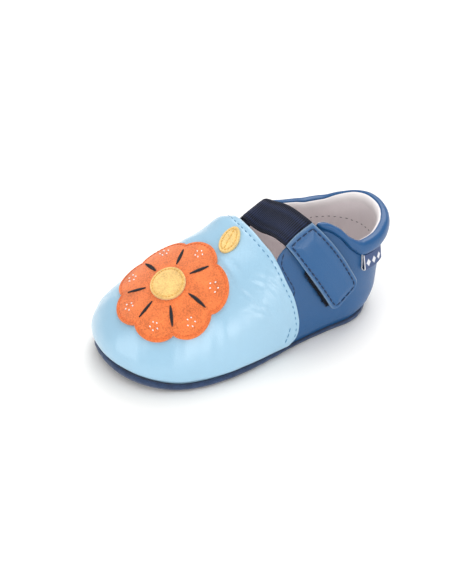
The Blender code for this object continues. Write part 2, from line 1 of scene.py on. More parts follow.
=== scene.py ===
"""Looks of a baby's soft leather shoe, left foot.

Every piece is a surface worked out from the same last as the solids. A plan point is a station (millimetres
from the heel back towards the toe) and a distance across (positive on the lateral side), and the last raises
it on to the wall of the shoe. Points are millimetres until they go into a mesh, which is in metres with the
toe to -Y, the lateral side to +X and the sole on Z = 0.
"""
import logging
from dataclasses import dataclass
from enum import Enum
from functools import cache
from typing import Sequence

import bmesh
import bpy
import numpy as np
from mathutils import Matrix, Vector


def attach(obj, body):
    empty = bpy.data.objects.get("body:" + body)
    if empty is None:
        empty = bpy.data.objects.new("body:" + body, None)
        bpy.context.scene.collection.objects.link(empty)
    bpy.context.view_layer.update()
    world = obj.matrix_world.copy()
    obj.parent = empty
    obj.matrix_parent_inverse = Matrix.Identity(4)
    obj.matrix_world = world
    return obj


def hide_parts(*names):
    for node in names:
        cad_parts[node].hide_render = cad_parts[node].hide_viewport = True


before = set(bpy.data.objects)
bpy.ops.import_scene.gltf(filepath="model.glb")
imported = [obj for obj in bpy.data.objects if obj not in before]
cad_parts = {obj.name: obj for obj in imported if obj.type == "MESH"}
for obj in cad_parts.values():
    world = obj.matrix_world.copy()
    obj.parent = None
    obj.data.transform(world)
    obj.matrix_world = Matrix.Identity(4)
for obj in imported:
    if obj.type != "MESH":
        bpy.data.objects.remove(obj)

Array = np.ndarray
Rows = tuple[tuple[float, ...], ...]
Colour = tuple[float, float, float]
Socket = bpy.types.NodeSocket
MM = 0.001
# a crease's ridges: their distance off it and half width in half widths of the crease, and their height
RIDGE_OFF, RIDGE_HALF, RIDGE_HEIGHT = 2.2, 1.3, 0.4
LOG = logging.getLogger("baby_shoe")


class Side(Enum):
    """The two sides of the shoe, with the sign of the distance across."""

    LATERAL = 1
    MEDIAL = -1


# Curves and grids


def ease(x: Array) -> Array:
    """Smooth step from 0 to 1: 3x^2 - 2x^3, held outside that range."""
    x = np.clip(x, 0, 1)
    return x * x * (3 - 2 * x)


def smooth(x: Array, xs: Array, ys: Array) -> Array:
    """Monotone cubic through rows (xs, ys): Hermite pieces with harmonic-mean tangents.

    Args:
        x: places to read.
        xs: rising places of the rows.
        ys: values of the rows.

    Returns:
        The values at x, held at both ends.
    """
    xs, ys = np.asarray(xs, float), np.asarray(ys, float)
    step = np.diff(xs)
    slope = np.diff(ys) / step
    same = slope[:-1] * slope[1:] > 0
    near, far = 2 * step[1:] + step[:-1], step[1:] + 2 * step[:-1]
    before, after = np.where(same, slope[:-1], 1.0), np.where(same, slope[1:], 1.0)
    inner = np.where(same, (near + far) / (near / before + far / after), 0.0)
    tangent = np.concatenate([slope[:1], inner, slope[-1:]])
    x = np.clip(np.asarray(x, float), xs[0], xs[-1])
    cell = np.clip(np.searchsorted(xs, x, side="right") - 1, 0, len(step) - 1)
    u = (x - xs[cell]) / step[cell]
    start = (1 + 2 * u) * (1 - u) ** 2 * ys[cell] + u * (1 - u) ** 2 * step[cell] * tangent[cell]
    return start + u * u * (3 - 2 * u) * ys[cell + 1] + u * u * (u - 1) * step[cell] * tangent[cell + 1]


def table_read(x: Array, table: Rows, column: int) -> Array:
    """One column of a table, read smoothly against its first column."""
    rows = np.array(sorted(table))
    return smooth(x, rows[:, 0], rows[:, column])


def resampled(table: Rows, count: int) -> Array:
    """Columns of a table, read smoothly at even places from its first row to its last."""
    knots = np.array(table)
    place = np.linspace(0, len(knots) - 1, count)
    return np.stack([smooth(place, np.arange(len(knots)), column) for column in knots.T])


def graded(runs: Rows) -> Array:
    """Even runs joined end to end, each row giving start, end and count."""
    parts = [np.linspace(start, end, int(count))[:-1] for start, end, count in runs]
    return np.append(np.concatenate(parts), runs[-1][1])


def bell(x: Array, middle: Array, half: float) -> Array:
    """Gaussian bell of height 1, with the half width at which it falls to 1/e."""
    return np.exp(-(((x - middle) / half) ** 2))


def rounded(inset: Array, radius: float) -> Array:
    """Quarter round over an edge: 0 at the edge, 1 from a radius inside it."""
    return np.sqrt(np.clip(1 - (1 - np.clip(inset / radius, 0, 1)) ** 2, 0, 1))


def superellipse(angle: Array, wide_power: float, tall_power: float) -> tuple[Array, Array]:
    """Cosine and sine of an angle, each raised to a power with its sign kept."""
    wide, tall = np.cos(angle), np.sin(angle)
    return np.sign(wide) * np.abs(wide) ** wide_power, np.sign(tall) * np.abs(tall) ** tall_power


def unit(vectors: Array) -> Array:
    """Vectors brought to length 1."""
    return vectors / np.maximum(np.linalg.norm(vectors, axis=-1, keepdims=True), 1e-12)


def outward(points: Array, closed: bool = False) -> Array:
    """Unit normals of a grid: the cross product of its row and column directions.

    Args:
        points: rows x columns x 3.
        closed: whether the last column runs on into the first.

    Returns:
        Normals of the same shape.
    """
    along = np.gradient(points, axis=1)
    if closed:
        along = np.roll(points, -1, axis=1) - np.roll(points, 1, axis=1)
    return unit(np.cross(np.gradient(points, axis=0), along))


def walked(points: Array) -> Array:
    """Distance walked along a path, or up each column of a grid, from its first row."""
    steps = np.linalg.norm(np.diff(points, axis=0), axis=-1)
    return np.concatenate([np.zeros((1, *points.shape[1:-1])), np.cumsum(steps, axis=0)])


def read_at(grid: Array, distance: Array, target: Array) -> Array:
    """Values of a grid where the distance up each column reaches a target, linear between rows.

    Args:
        grid: rows x columns x 3.
        distance: rows x columns, rising up each column.
        target: one distance for each column.

    Returns:
        One value for each column.
    """
    columns = np.arange(grid.shape[1])
    row = np.clip((distance < target).sum(axis=0) - 1, 0, len(distance) - 2)
    low, high = distance[row, columns], distance[row + 1, columns]
    share = np.clip((target - low) / np.maximum(high - low, 1e-9), 0, 1)[:, None]
    return grid[row, columns] * (1 - share) + grid[row + 1, columns] * share


def draped(points: Array, grid: Array, normal: Array) -> tuple[Array, Array]:
    """Points dropped on to a grid along the normals of their nearest vertices.

    Args:
        points: points near the grid, count x 3.
        grid: rows x columns x 3.
        normal: unit normals of the grid.

    Returns:
        The dropped points and the normals there.
    """
    corners, facing = grid.reshape(-1, 3), normal.reshape(-1, 3)
    near = np.linalg.norm(corners[:, None] - points, axis=-1).argmin(axis=0)
    facing = facing[near]
    high = np.sum((points - corners[near]) * facing, axis=-1, keepdims=True)
    return points - high * facing, facing


def ripple(a: Array, b: Array, waves: Rows) -> Array:
    """Sum of slanted sine waves over two coordinates, each row giving two rates, a phase and a height."""
    total = np.zeros(np.broadcast(a, b).shape)
    for rate_a, rate_b, phase, height in waves:
        total = total + height * np.sin(rate_a * a + rate_b * b + phase)
    return total


def swelled(a: Array, b: Array, swells: Rows) -> Array:
    """Sum of Gaussian swells, each row giving its middle a and b, its two half widths and its height."""
    total = np.zeros(np.broadcast(a, b).shape)
    for middle_a, middle_b, half_a, half_b, height in swells:
        total = total + height * bell(a, middle_a, half_a) * bell(b, middle_b, half_b)
    return total


def creased(a: Array, b: Array, creases: Rows) -> Array:
    """Soft troughs with low ridges beside them.

    Args:
        a: first coordinate in millimetres.
        b: second coordinate in millimetres.
        creases: rows of middle a, middle b, heading in degrees, half length, half width and depth.

    Returns:
        Relief in millimetres: a Gaussian trough across each crease, faded towards its ends.
    """
    relief = np.zeros(np.broadcast(a, b).shape)
    for middle_a, middle_b, heading, half_length, half_width, depth in creases:
        turn = np.radians(heading)
        down = (a - middle_a) * np.cos(turn) + (b - middle_b) * np.sin(turn)
        off = (b - middle_b) * np.cos(turn) - (a - middle_a) * np.sin(turn)
        fade = np.exp(-((down / half_length) ** 4))
        ridge = bell(np.abs(off), RIDGE_OFF * half_width, RIDGE_HALF * half_width)
        relief = relief + depth * fade * (RIDGE_HEIGHT * ridge - bell(off, 0.0, half_width))
    return relief


# The last and the cut lines of the leather


@dataclass(frozen=True)
class Last:
    """Foot form under every piece: a plan with round heel and toe, and superelliptic walls raised on it."""

    length: float = 126.6
    heel_centre: float = 25.0
    middle_height: float = 20.0
    toe_centre: float = 89.4
    heel_half: float = 23.6
    ball_half_lateral: float = 31.7
    ball_half_medial: float = 30.7
    waist_cut_lateral: float = 0.5
    waist_cut_medial: float = 2.0
    heel_squareness: float = 2.15
    toe_squareness: float = 2.29
    toe_swing: float = 3.6
    swing_start: float = 60.0
    tuck: float = 1.6
    tuck_height: float = 10.0
    heel_tuck: float = 3.2
    heel_flare: float = 5.6
    flare_height: float = 40.0
    flare_power: float = 1.2
    section_reach: float = 0.6
    strand_blend: float = 15.0
    toe_part: float = 0.36
    heel_part: float = 0.70
    fine_steps: int = 2001
    facing_passes: int = 2
    centre_station: float = 59.8
    centre_across: float = -0.2
    # station, crown height above the rim, wall exponent, crown exponent
    sections: Rows = (
        (0.0, 113.7, 3.6, 2.0),
        (25.0, 100.0, 3.5, 2.0),
        (48.0, 60.3, 2.7, 2.0),
        (62.0, 49.5, 2.4, 2.05),
        (89.4, 37.1, 2.3, 2.1),
        (126.6, 25.4, 2.2, 2.1),
    )
    # station, height of the feather line where upper and sole meet, bulge of the sole's edge
    rim: Rows = (
        (0.0, 2.3, 0.3),
        (25.0, 2.0, 0.35),
        (46.0, 1.7, 0.45),
        (62.0, 2.1, 0.8),
        (85.0, 2.9, 1.0),
        (105.0, 3.3, 1.0),
        (118.0, 5.2, 1.0),
        (126.6, 7.0, 1.0),
    )

    def section(self, station: Array, column: int) -> Array:
        """One column of the section table, read smoothly at a station."""
        return table_read(station, self.sections, column)

    def rim_height(self, station: Array) -> Array:
        """Height of the feather line, low at the waist and lifted at the toe."""
        return table_read(station, self.rim, 1)

    def sole_bulge(self, station: Array) -> Array:
        """How far the sole's edge stands out past the rim, less at heel and waist."""
        return table_read(station, self.rim, 2)

    def swing(self, station: Array) -> Array:
        """Sideways shift of the forefoot, with the square of the way from the waist to the toe."""
        share = np.clip((station - self.swing_start) / (self.length - self.swing_start), 0, None)
        return -self.toe_swing * share**2

    def half_width(self, station: Array, side: Array) -> Array:
        """Half width of the plan: an eased rise from heel to ball less a sine-squared waist."""
        ball = np.where(side > 0, self.ball_half_lateral, self.ball_half_medial)
        waist = np.where(side > 0, self.waist_cut_lateral, self.waist_cut_medial)
        share = np.clip((station - self.heel_centre) / (self.toe_centre - self.heel_centre), 0, 1)
        return self.heel_half + (ball - self.heel_half) * ease(share) - waist * np.sin(np.pi * share) ** 2

    def rays(self, station: Array, across: Array) -> tuple[Array, Array, Array, Array, Array]:
        """Plan points as rays from the spine that joins heel centre and toe centre.

        Args:
            station: stations of the points.
            across: distances across.

        Returns:
            Spine station, direction along, direction out, distance gone, and reach of the outline that way,
            which is a superellipse of the half width and the length of heel or toe.
        """
        side = np.where(across >= 0, 1, -1)
        spine = np.clip(station, self.heel_centre, self.toe_centre)
        gone = np.hypot(station - spine, across)
        safe = np.maximum(gone, 1e-9)
        along = np.where(gone > 1e-9, (station - spine) / safe, 0.0)
        out = np.where(gone > 1e-9, across / safe, side)
        front = np.where(along > 0, self.length - self.toe_centre, self.heel_centre)
        power = np.where(along > 0, self.toe_squareness, self.heel_squareness)
        half = self.half_width(spine, side)
        reach = ((np.abs(along) / front) ** power + (np.abs(out) / half) ** power) ** (-1 / power)
        return spine, along, out, gone, reach

    def foot_tuck(self, along: Array) -> Array:
        """How far the wall is drawn in at the rim, more at the heel back."""
        return self.tuck + self.heel_tuck * np.clip(-along, 0, 1) ** 2

    def lift(self, station: Array, across: Array) -> Array:
        """Plan points raised on to the wall.

        The rise is (1 - share^p)^(1/q) of the crown, where share is the distance from the spine over the
        reach. The foot is drawn in, the heel leans back and the toe swings to the medial side.

        Args:
            station: stations of the points.
            across: distances across.

        Returns:
            Points as across, station, height.
        """
        spine, along, out, gone, reach = self.rays(station, across)
        place = spine + self.section_reach * reach * along
        share = np.clip(gone / reach, 0, 1)
        rise = (1 - share ** self.section(place, 2)) ** (1 / self.section(place, 3))
        above = self.section(station, 1) * rise
        tuck = self.foot_tuck(along) * np.clip(1 - above / self.tuck_height, 0, 1) ** 2
        lean = np.clip(above / self.flare_height, 0, None) ** self.flare_power
        move = self.heel_flare * lean * np.clip(-along, 0, 1) ** 2 - tuck
        height = self.rim_height(station) + above
        return np.stack([across + move * out + self.swing(station), station + move * along, height], -1)

    def wall_share(self, station: Array, height: Array) -> Array:
        """Share of the way from the middle line to the outline of the wall at a height."""
        rise = np.clip((height - self.rim_height(station)) / self.section(station, 1), 0, 1)
        return (1 - rise ** self.section(station, 3)) ** (1 / self.section(station, 2))

    def side_across(self, station: Array, height: Array, side: Array) -> Array:
        """Distance across of the wall at a station and height, drawn in round the heel."""
        share = self.wall_share(station, height)
        back = np.clip((self.heel_centre - station) / (self.heel_centre * np.maximum(share, 1e-6)), 0, 1)
        fan = (1 - back**self.heel_squareness) ** (1 / self.heel_squareness)
        return side * share * fan * self.half_width(np.maximum(station, self.heel_centre), side)

    def wall_row(self, rows: Rows, side: Side, count: int) -> Array:
        """Smooth row of wall points through stations and heights on one side."""
        station, height = resampled(rows, count)
        return self.lift(station, self.side_across(station, height, side.value))

    def outline(self, around: Array) -> tuple[Array, Array]:
        """Plan outline, with around running from -1 (heel, medial) by 0 (toe) to 1 (heel, lateral)."""
        side, share = np.where(around >= 0, 1, -1), np.abs(around)
        toe = np.clip(share / self.toe_part, 0, 1) * np.pi / 2
        heel = np.clip((share - self.heel_part) / (1 - self.heel_part), 0, 1) * np.pi / 2
        middle = np.clip((share - self.toe_part) / (self.heel_part - self.toe_part), 0, 1)
        spine = self.toe_centre + (self.heel_centre - self.toe_centre) * middle
        along, out = np.cos(toe) - np.sin(heel), side * np.sin(toe) * np.cos(heel)
        reach = self.rays(spine + along, out)[4]
        return spine + reach * along, reach * out

    def side_around(self, station: float) -> float:
        """Position round the outline of a station on the straight side."""
        share = (self.toe_centre - station) / (self.toe_centre - self.heel_centre)
        return self.toe_part + (self.heel_part - self.toe_part) * share

    def spaced(self, start: float, end: float, count: int) -> Array:
        """Positions round the outline at even distances, from start up to end."""
        fine = np.linspace(start, end, self.fine_steps)
        length = walked(np.stack(self.outline((fine + 1) % 2 - 1), -1))
        return (np.interp(np.linspace(0, length[-1], count), length, fine) + 1) % 2 - 1

    def strands(
        self, foot: tuple[Array, Array], edge: tuple[Array, Array], steps: Array, foot_rise: float
    ) -> tuple[Array, Array]:
        """Grid of plan points from just above the outline to an edge, even in the rise of the wall.

        Args:
            foot: stations and distances across on the outline.
            edge: stations and distances across of the edge.
            steps: shares of the way up, one for each row.
            foot_rise: height of the first row above the rim.

        Returns:
            Stations and distances across, rows x columns.
        """
        (foot_station, foot_across), (edge_station, edge_across) = foot, edge
        _, _, _, gone, reach = self.rays(edge_station, edge_across)
        share = np.clip(gone / reach, 0, 1)
        power = self.section(edge_station, 2)
        end = np.arccos(share ** (power / 2))
        start = np.minimum(np.arcsin(foot_rise / self.section(foot_station, 1)), end / 2)
        travel = (1 - np.cos(start + (end - start) * steps[:, None]) ** (2 / power)) / (1 - share)
        station = foot_station + (edge_station - foot_station) * travel
        straight = foot_across + (edge_across - foot_across) * travel
        side = np.where(foot_across >= 0, 1, -1)
        on_wall = side * (1 - (1 - share) * travel) * self.half_width(station, side)
        blend = np.clip((self.toe_centre - foot_station) / self.strand_blend, 0, 1)
        blend = blend * (foot_station >= self.heel_centre)
        return station, straight + (on_wall - straight) * blend

    def facing(self, grid: Array, closed: bool = False) -> Array:
        """Outward normals of a wall grid, turned away from the middle of the last where strands cross.

        Args:
            grid: wall points, rows upwards.
            closed: whether the columns run all the way round.

        Returns:
            Unit normals.
        """
        normal = outward(grid, closed)
        spine = np.clip(grid[..., 1], self.heel_centre, self.toe_centre)
        middle = np.stack([self.swing(spine), spine, np.full_like(spine, self.middle_height)], -1)
        normal = normal * np.where(np.sum(normal * (grid - middle), axis=-1) < 0, -1, 1)[..., None]
        for _ in range(self.facing_passes):
            ends = np.pad(normal, ((0, 0), (1, 1), (0, 0)), mode="wrap" if closed else "edge")
            normal = 0.25 * ends[:, :-2] + 0.5 * normal + 0.25 * ends[:, 2:]
        return unit(normal)

    def world(self, points: Array) -> Array:
        """Shoe millimetres to metres in the part's frame."""
        place = np.array([self.centre_across, self.centre_station, 0.0])
        return (points - place) * np.array([1, -1, 1]) * MM


@dataclass(frozen=True)
class Pattern:
    """Cut lines of the leather on the last: rear edge of the vamp, flaps of the quarter, top of collar."""

    last: Last = Last()
    lap: float = 1.2
    seam_gap: float = 0.3
    throat_rows: int = 5
    roll_cover: float = 0.5
    # middle station, middle across, half length, half width, height of the swells behind the flower
    swells: Rows = (
        (67.0, -12.0, 8.0, 9.0, 1.0),
        (58.5, -8.0, 3.0, 12.0, -2.6),
        (64.0, -14.0, 4.0, 8.0, 0.9),
    )
    # foot station on the rim, station of the edge, height as a share of the crown
    vamp_edge: Rows = (
        (126.6, 60.2, 1.0),
        (112.0, 59.8, 0.978),
        (95.0, 58.7, 0.914),
        (84.0, 57.2, 0.843),
        (77.0, 55.9, 0.75),
        (71.5, 54.0, 0.60),
        (67.5, 51.4, 0.443),
        (63.5, 49.9, 0.30),
        (61.0, 49.4, 0.215),
        (59.0, 49.8, 0.15),
        (57.5, 50.8, 0.105),
        (56.5, 52.4, 0.07),
    )
    # foot station, station, height
    flap_lateral: Rows = (
        (72.0, 56.6, 41.4),
        (67.0, 55.2, 43.8),
        (61.0, 52.6, 46.2),
        (52.0, 47.0, 49.8),
        (45.0, 42.6, 52.6),
    )
    flap_medial: Rows = (
        (72.0, 57.0, 39.0),
        (67.0, 55.8, 40.4),
        (61.0, 53.0, 41.2),
        (52.0, 47.0, 41.8),
        (45.0, 42.6, 42.3),
    )
    # station, lateral height, medial height, height of the padded roll
    collar: Rows = (
        (0.0, 43.6, 43.6, 7.6),
        (5.0, 42.8, 39.4, 7.6),
        (10.0, 41.7, 37.4, 7.5),
        (16.0, 41.7, 37.3, 7.2),
        (22.0, 45.2, 38.8, 5.9),
        (28.0, 51.8, 40.3, 4.7),
        (34.0, 55.4, 42.4, 3.4),
        (40.0, 56.4, 44.5, 2.6),
    )

    def collar_top(self, station: Array, side: Array) -> Array:
        """Height of the topline on one side or the other."""
        lateral, medial = (table_read(station, self.collar, column) for column in (1, 2))
        return np.where(side > 0, lateral, medial)

    def roll_height(self, station: Array) -> Array:
        """Height of the padded roll."""
        return table_read(station, self.collar, 3)

    def line(self, around: Array, lateral: Rows, medial: Rows) -> tuple[Array, Array]:
        """Plan points of an edge given, for each side, as rows of foot station, station and height.

        Args:
            around: positions round the outline.
            lateral: rows for the lateral side.
            medial: rows for the medial side.

        Returns:
            Stations and distances across of the edge above each position.
        """
        foot_station, foot_across = self.last.outline(around)
        side = np.where(around >= 0, 1, -1)
        edge, height = (
            np.where(side > 0, table_read(foot_station, lateral, k), table_read(foot_station, medial, k))
            for k in (1, 2)
        )
        share = self.last.wall_share(edge, height)
        heel = foot_station < self.last.heel_centre
        fanned = self.last.heel_centre + share * (foot_station - self.last.heel_centre)
        across = np.where(heel, share * foot_across, self.last.side_across(edge, height, side))
        return np.where(heel, fanned, edge), across

    def vamp_rows(self, shift: float) -> Rows:
        """Rear edge of the vamp as heights, moved towards the toe."""
        foot, station, share = np.array(self.vamp_edge).T
        station = station + shift
        height = self.last.rim_height(station) + share * self.last.section(station, 1)
        return tuple(zip(foot, station, height))

    def vamp_line(self, around: Array) -> tuple[Array, Array]:
        """Plan points of the rear edge of the vamp."""
        rows = self.vamp_rows(0.0)
        return self.line(around, rows, rows)

    def upper_line(self, around: Array, shift: float, under_roll: float) -> tuple[Array, Array]:
        """Plan points of the top edge of the quarter and lining.

        Args:
            around: positions round the outline.
            shift: how far the throat edge lies ahead of the vamp's edge.
            under_roll: how far the edge runs up behind the padded roll, at most a share of the roll.

        Returns:
            Stations and distances across.
        """
        throat = self.vamp_rows(shift)[: self.throat_rows]
        station, *tops, roll = np.array(self.collar).T
        seam = np.minimum(under_roll, self.roll_cover * roll) - self.seam_gap - roll
        flaps = (self.flap_lateral, self.flap_medial)
        tables = [throat + flap + tuple(zip(station, station, top + seam)) for flap, top in zip(flaps, tops)]
        return self.line(around, *tables)


# Materials


def scaled(colour: Colour, factor: float) -> Colour:
    """A colour made lighter or darker, held at full white."""
    return tuple(min(1.0, channel * factor) for channel in colour)


class Graph:
    """Adds and links nodes in one shader tree."""

    def __init__(self, tree: bpy.types.NodeTree) -> None:
        """Keep the tree that the nodes go into."""
        self.tree = tree

    def feed(self, node: bpy.types.Node, inputs: dict[str | int, object]) -> None:
        """Link sockets of a node to other nodes' outputs, or set them to values."""
        for key, value in inputs.items():
            if isinstance(value, Socket):
                self.tree.links.new(value, node.inputs[key])
            else:
                node.inputs[key].default_value = value

    def add(self, kind: str, inputs: dict[str | int, object], **settings: object) -> bpy.types.Node:
        """Add a node, with sockets linked or set.

        Args:
            kind: node type.
            inputs: socket name or index to a value or to another node's output.
            settings: properties of the node.

        Returns:
            The node.
        """
        made = self.tree.nodes.new(kind)
        for key, value in settings.items():
            setattr(made, key, value)
        self.feed(made, inputs)
        return made

    def math(self, operation: str, first: object, second: object = 0.0) -> Socket:
        """Output of a Math node."""
        return self.add("ShaderNodeMath", {0: first, 1: second}, operation=operation).outputs[0]

    def plus(self, first: object, second: object) -> Socket:
        """Sum of two values."""
        return self.math("ADD", first, second)

    def times(self, first: object, second: object) -> Socket:
        """Product of two values."""
        return self.math("MULTIPLY", first, second)

    def mix(self, share: object, first: object, second: object) -> Socket:
        """Colour output of a Mix node."""
        inputs = {0: share}
        for key, value in ((6, first), (7, second)):
            inputs[key] = value if isinstance(value, Socket) else (*value, 1.0)
        return self.add("ShaderNodeMix", inputs, data_type="RGBA").outputs[2]

    def shaded(self, tone: Socket, colour: Colour, spread: float) -> Socket:
        """A colour made darker and lighter by a tone."""
        return self.mix(tone, scaled(colour, 1 - spread), scaled(colour, 1 + spread))

    def noise(self, vector: object, scale: object, detail: float, roughness: float) -> Socket:
        """Value of a noise texture."""
        inputs = {"Vector": vector, "Scale": scale, "Detail": detail, "Roughness": roughness}
        return self.add("ShaderNodeTexNoise", inputs).outputs[0]

    def place(self) -> Socket:
        """Position in the piece's own coordinates."""
        return self.add("ShaderNodeTexCoord", {}).outputs["Object"]

    def mark(self, name: str) -> Socket:
        """Value of a point attribute."""
        return self.add("ShaderNodeAttribute", {}, attribute_name=name).outputs["Fac"]

    def effect(self, group: bpy.types.NodeTree, **inputs: object) -> bpy.types.bpy_prop_collection:
        """Outputs of a shared effect."""
        return self.add("ShaderNodeGroup", inputs, node_tree=group).outputs

    def relief(self, height: Socket, depth: float) -> Socket:
        """Normal of a height, through a Bump node with its depth in metres."""
        return self.add("ShaderNodeBump", {"Height": height, "Strength": 1.0, "Distance": depth}).outputs[0]


class SharedEffect:
    """Shader node groups that several finishes use, each built once."""

    @staticmethod
    def start(name: str, values: Sequence[str], outputs: Sequence[str]) -> tuple[Graph, Sequence[Socket]]:
        """A new group with a vector input, value inputs and value outputs.

        Args:
            name: name of the group.
            values: names of the value inputs.
            outputs: names of the value outputs.

        Returns:
            A graph on the group, and the sockets of its inputs.
        """
        group = bpy.data.node_groups.new(name, "ShaderNodeTree")
        group.interface.new_socket("Vector", in_out="INPUT", socket_type="NodeSocketVector")
        for way, sockets in (("INPUT", values), ("OUTPUT", outputs)):
            for socket in sockets:
                group.interface.new_socket(socket, in_out=way, socket_type="NodeSocketFloat")
        graph = Graph(group)
        return graph, graph.add("NodeGroupInput", {}).outputs

    @staticmethod
    @cache
    def grain() -> bpy.types.NodeTree:
        """Leather grain: cells raised in the middle plus pores, and a slow drift of tone."""
        graph, given = SharedEffect.start("leather_grain", ("Cells",), ("Height", "Tone"))
        cells = graph.add("ShaderNodeTexVoronoi", {"Vector": given[0], "Scale": given[1]}).outputs["Distance"]
        pores = graph.noise(given[0], graph.times(given[1], 2.6), 3.0, 0.6)
        height = graph.math("SUBTRACT", graph.times(pores, 0.5), graph.times(cells, 0.6))
        graph.add("NodeGroupOutput", {"Height": height, "Tone": graph.noise(given[0], 45.0, 4.0, 0.55)})
        return graph.tree

    @staticmethod
    @cache
    def nap() -> bpy.types.NodeTree:
        """Suede nap: fine fibres brushed into small patches."""
        graph, given = SharedEffect.start("suede_nap", ("Fibres",), ("Height", "Tone"))
        fibre = graph.noise(given[0], given[1], 5.0, 0.7)
        patch = graph.noise(given[0], graph.times(given[1], 0.12), 3.0, 0.6)
        both = graph.plus(graph.times(fibre, 2.6), graph.times(patch, 1.4))
        tone = graph.math("MAXIMUM", graph.math("MINIMUM", graph.math("SUBTRACT", both, 1.5), 1.0), 0.0)
        graph.add("NodeGroupOutput", {"Height": fibre, "Tone": tone})
        return graph.tree

    @staticmethod
    @cache
    def weave() -> bpy.types.NodeTree:
        """Ribbed weave on a piece's own map: sine ribs along it, crossed by finer threads."""
        graph, given = SharedEffect.start("ribbed_weave", ("Ribs", "Threads"), ("Height", "Tone"))
        chart = graph.add("ShaderNodeSeparateXYZ", {0: given[0]}).outputs
        rib, thread = (
            graph.math("SINE", graph.times(graph.times(chart[axis], given[rate]), 2 * np.pi))
            for axis, rate in ((1, 1), (0, 2))
        )
        height = graph.plus(graph.plus(graph.times(rib, 0.36), graph.times(thread, 0.14)), 0.5)
        graph.add("NodeGroupOutput", {"Height": height, "Tone": height})
        return graph.tree

    @staticmethod
    @cache
    def wear() -> bpy.types.NodeTree:
        """Edge wear: a mask from the piece's edge attribute, broken up by noise."""
        graph, given = SharedEffect.start("edge_wear", ("Edge",), ("Mask",))
        rough = graph.noise(given[0], 900.0, 3.0, 0.6)
        share = graph.times(given[1], graph.plus(graph.times(rough, 0.9), 0.45))
        graph.add("NodeGroupOutput", {"Mask": graph.math("MINIMUM", share, 1.0)})
        return graph.tree


def new_material(name: str, colour: Colour) -> tuple[bpy.types.Material, Graph, bpy.types.Node]:
    """A material, a graph on its tree, and its Principled shader."""
    material = bpy.data.materials.new(name)
    material.use_nodes = True
    material.diffuse_color = (*colour, 1.0)
    return material, Graph(material.node_tree), material.node_tree.nodes["Principled BSDF"]


@dataclass(frozen=True)
class Leather:
    """Dyed leather with fine grain, a soft coat, paler cut edges and a second colour where it is lined."""

    name: str
    colour: Colour
    raw: Colour
    lining: Colour = (0.72, 0.66, 0.63)
    roughness: float = 0.42
    rough_drift: float = 0.12
    specular: float = 0.28
    cells: float = 1500.0
    depth: float = 0.00008
    coat: float = 0.10
    coat_roughness: float = 0.22
    drift: float = 0.07

    @cache
    def material(self) -> bpy.types.Material:
        """Material of this leather."""
        material, graph, shader = new_material(self.name, self.colour)
        place = graph.place()
        grain = graph.effect(SharedEffect.grain(), Vector=place, Cells=self.cells)
        wear = graph.effect(SharedEffect.wear(), Vector=place, Edge=graph.mark("edge"))
        tone = grain["Tone"]
        face, back = (graph.shaded(tone, colour, self.drift) for colour in (self.colour, self.lining))
        least_rough = self.roughness - self.rough_drift / 2
        inputs = {
            "Base Color": graph.mix(wear["Mask"], graph.mix(graph.mark("lined"), face, back), self.raw),
            "Roughness": graph.plus(graph.times(tone, self.rough_drift), least_rough),
            "Specular IOR Level": self.specular,
            "Coat Weight": self.coat,
            "Coat Roughness": self.coat_roughness,
            "Normal": graph.relief(grain["Height"], self.depth),
        }
        graph.feed(shader, inputs)
        return material


@dataclass(frozen=True)
class Suede:
    """Napped leather: matt, with brushed patches and a pale sheen."""

    name: str
    colour: Colour
    fibres: float = 2600.0
    depth: float = 0.00018
    spread: float = 0.32
    edge_share: float = 0.5
    edge_tone: float = 0.62
    roughness: float = 0.85
    rough_drift: float = 0.1
    specular: float = 0.2
    sheen: float = 0.25
    sheen_roughness: float = 0.6

    @cache
    def material(self) -> bpy.types.Material:
        """Material of this suede."""
        material, graph, shader = new_material(self.name, self.colour)
        nap = graph.effect(SharedEffect.nap(), Vector=graph.place(), Fibres=self.fibres)
        face = graph.shaded(nap["Tone"], self.colour, self.spread)
        edge = graph.times(graph.mark("edge"), self.edge_share)
        inputs = {
            "Base Color": graph.mix(edge, face, scaled(self.colour, self.edge_tone)),
            "Roughness": graph.plus(graph.times(nap["Tone"], self.rough_drift), self.roughness),
            "Specular IOR Level": self.specular,
            "Sheen Weight": self.sheen,
            "Sheen Roughness": self.sheen_roughness,
            "Normal": graph.relief(nap["Height"], self.depth),
        }
        graph.feed(shader, inputs)
        return material


@dataclass(frozen=True)
class Webbing:
    """Woven band or thread: ribs on the piece's own map, with a second colour along its edges."""

    name: str
    colour: Colour
    trim: Colour
    ribs: float = 60.0
    threads: float = 30.0
    depth: float = 0.00012
    contrast: float = 0.35
    roughness: float = 0.7
    specular: float = 0.3
    sheen: float = 0.15

    @cache
    def material(self) -> bpy.types.Material:
        """Material of this weave."""
        material, graph, shader = new_material(self.name, self.colour)
        chart = graph.add("ShaderNodeUVMap", {}, uv_map="map").outputs[0]
        weave = graph.effect(SharedEffect.weave(), Vector=chart, Ribs=self.ribs, Threads=self.threads)
        face = graph.shaded(weave["Tone"], self.colour, self.contrast)
        inputs = {
            "Base Color": graph.mix(graph.mark("edge"), face, self.trim),
            "Roughness": self.roughness,
            "Specular IOR Level": self.specular,
            "Sheen Weight": self.sheen,
            "Normal": graph.relief(weave["Height"], self.depth),
        }
        graph.feed(shader, inputs)
        return material


Finish = Leather | Suede | Webbing


def thread(name: str, colour: Colour, contrast: float = 0.2) -> Webbing:
    """Sewing thread: a fine twist of one colour."""
    return Webbing(name, colour, colour, ribs=4.0, threads=1.0, depth=0.00003, contrast=contrast)


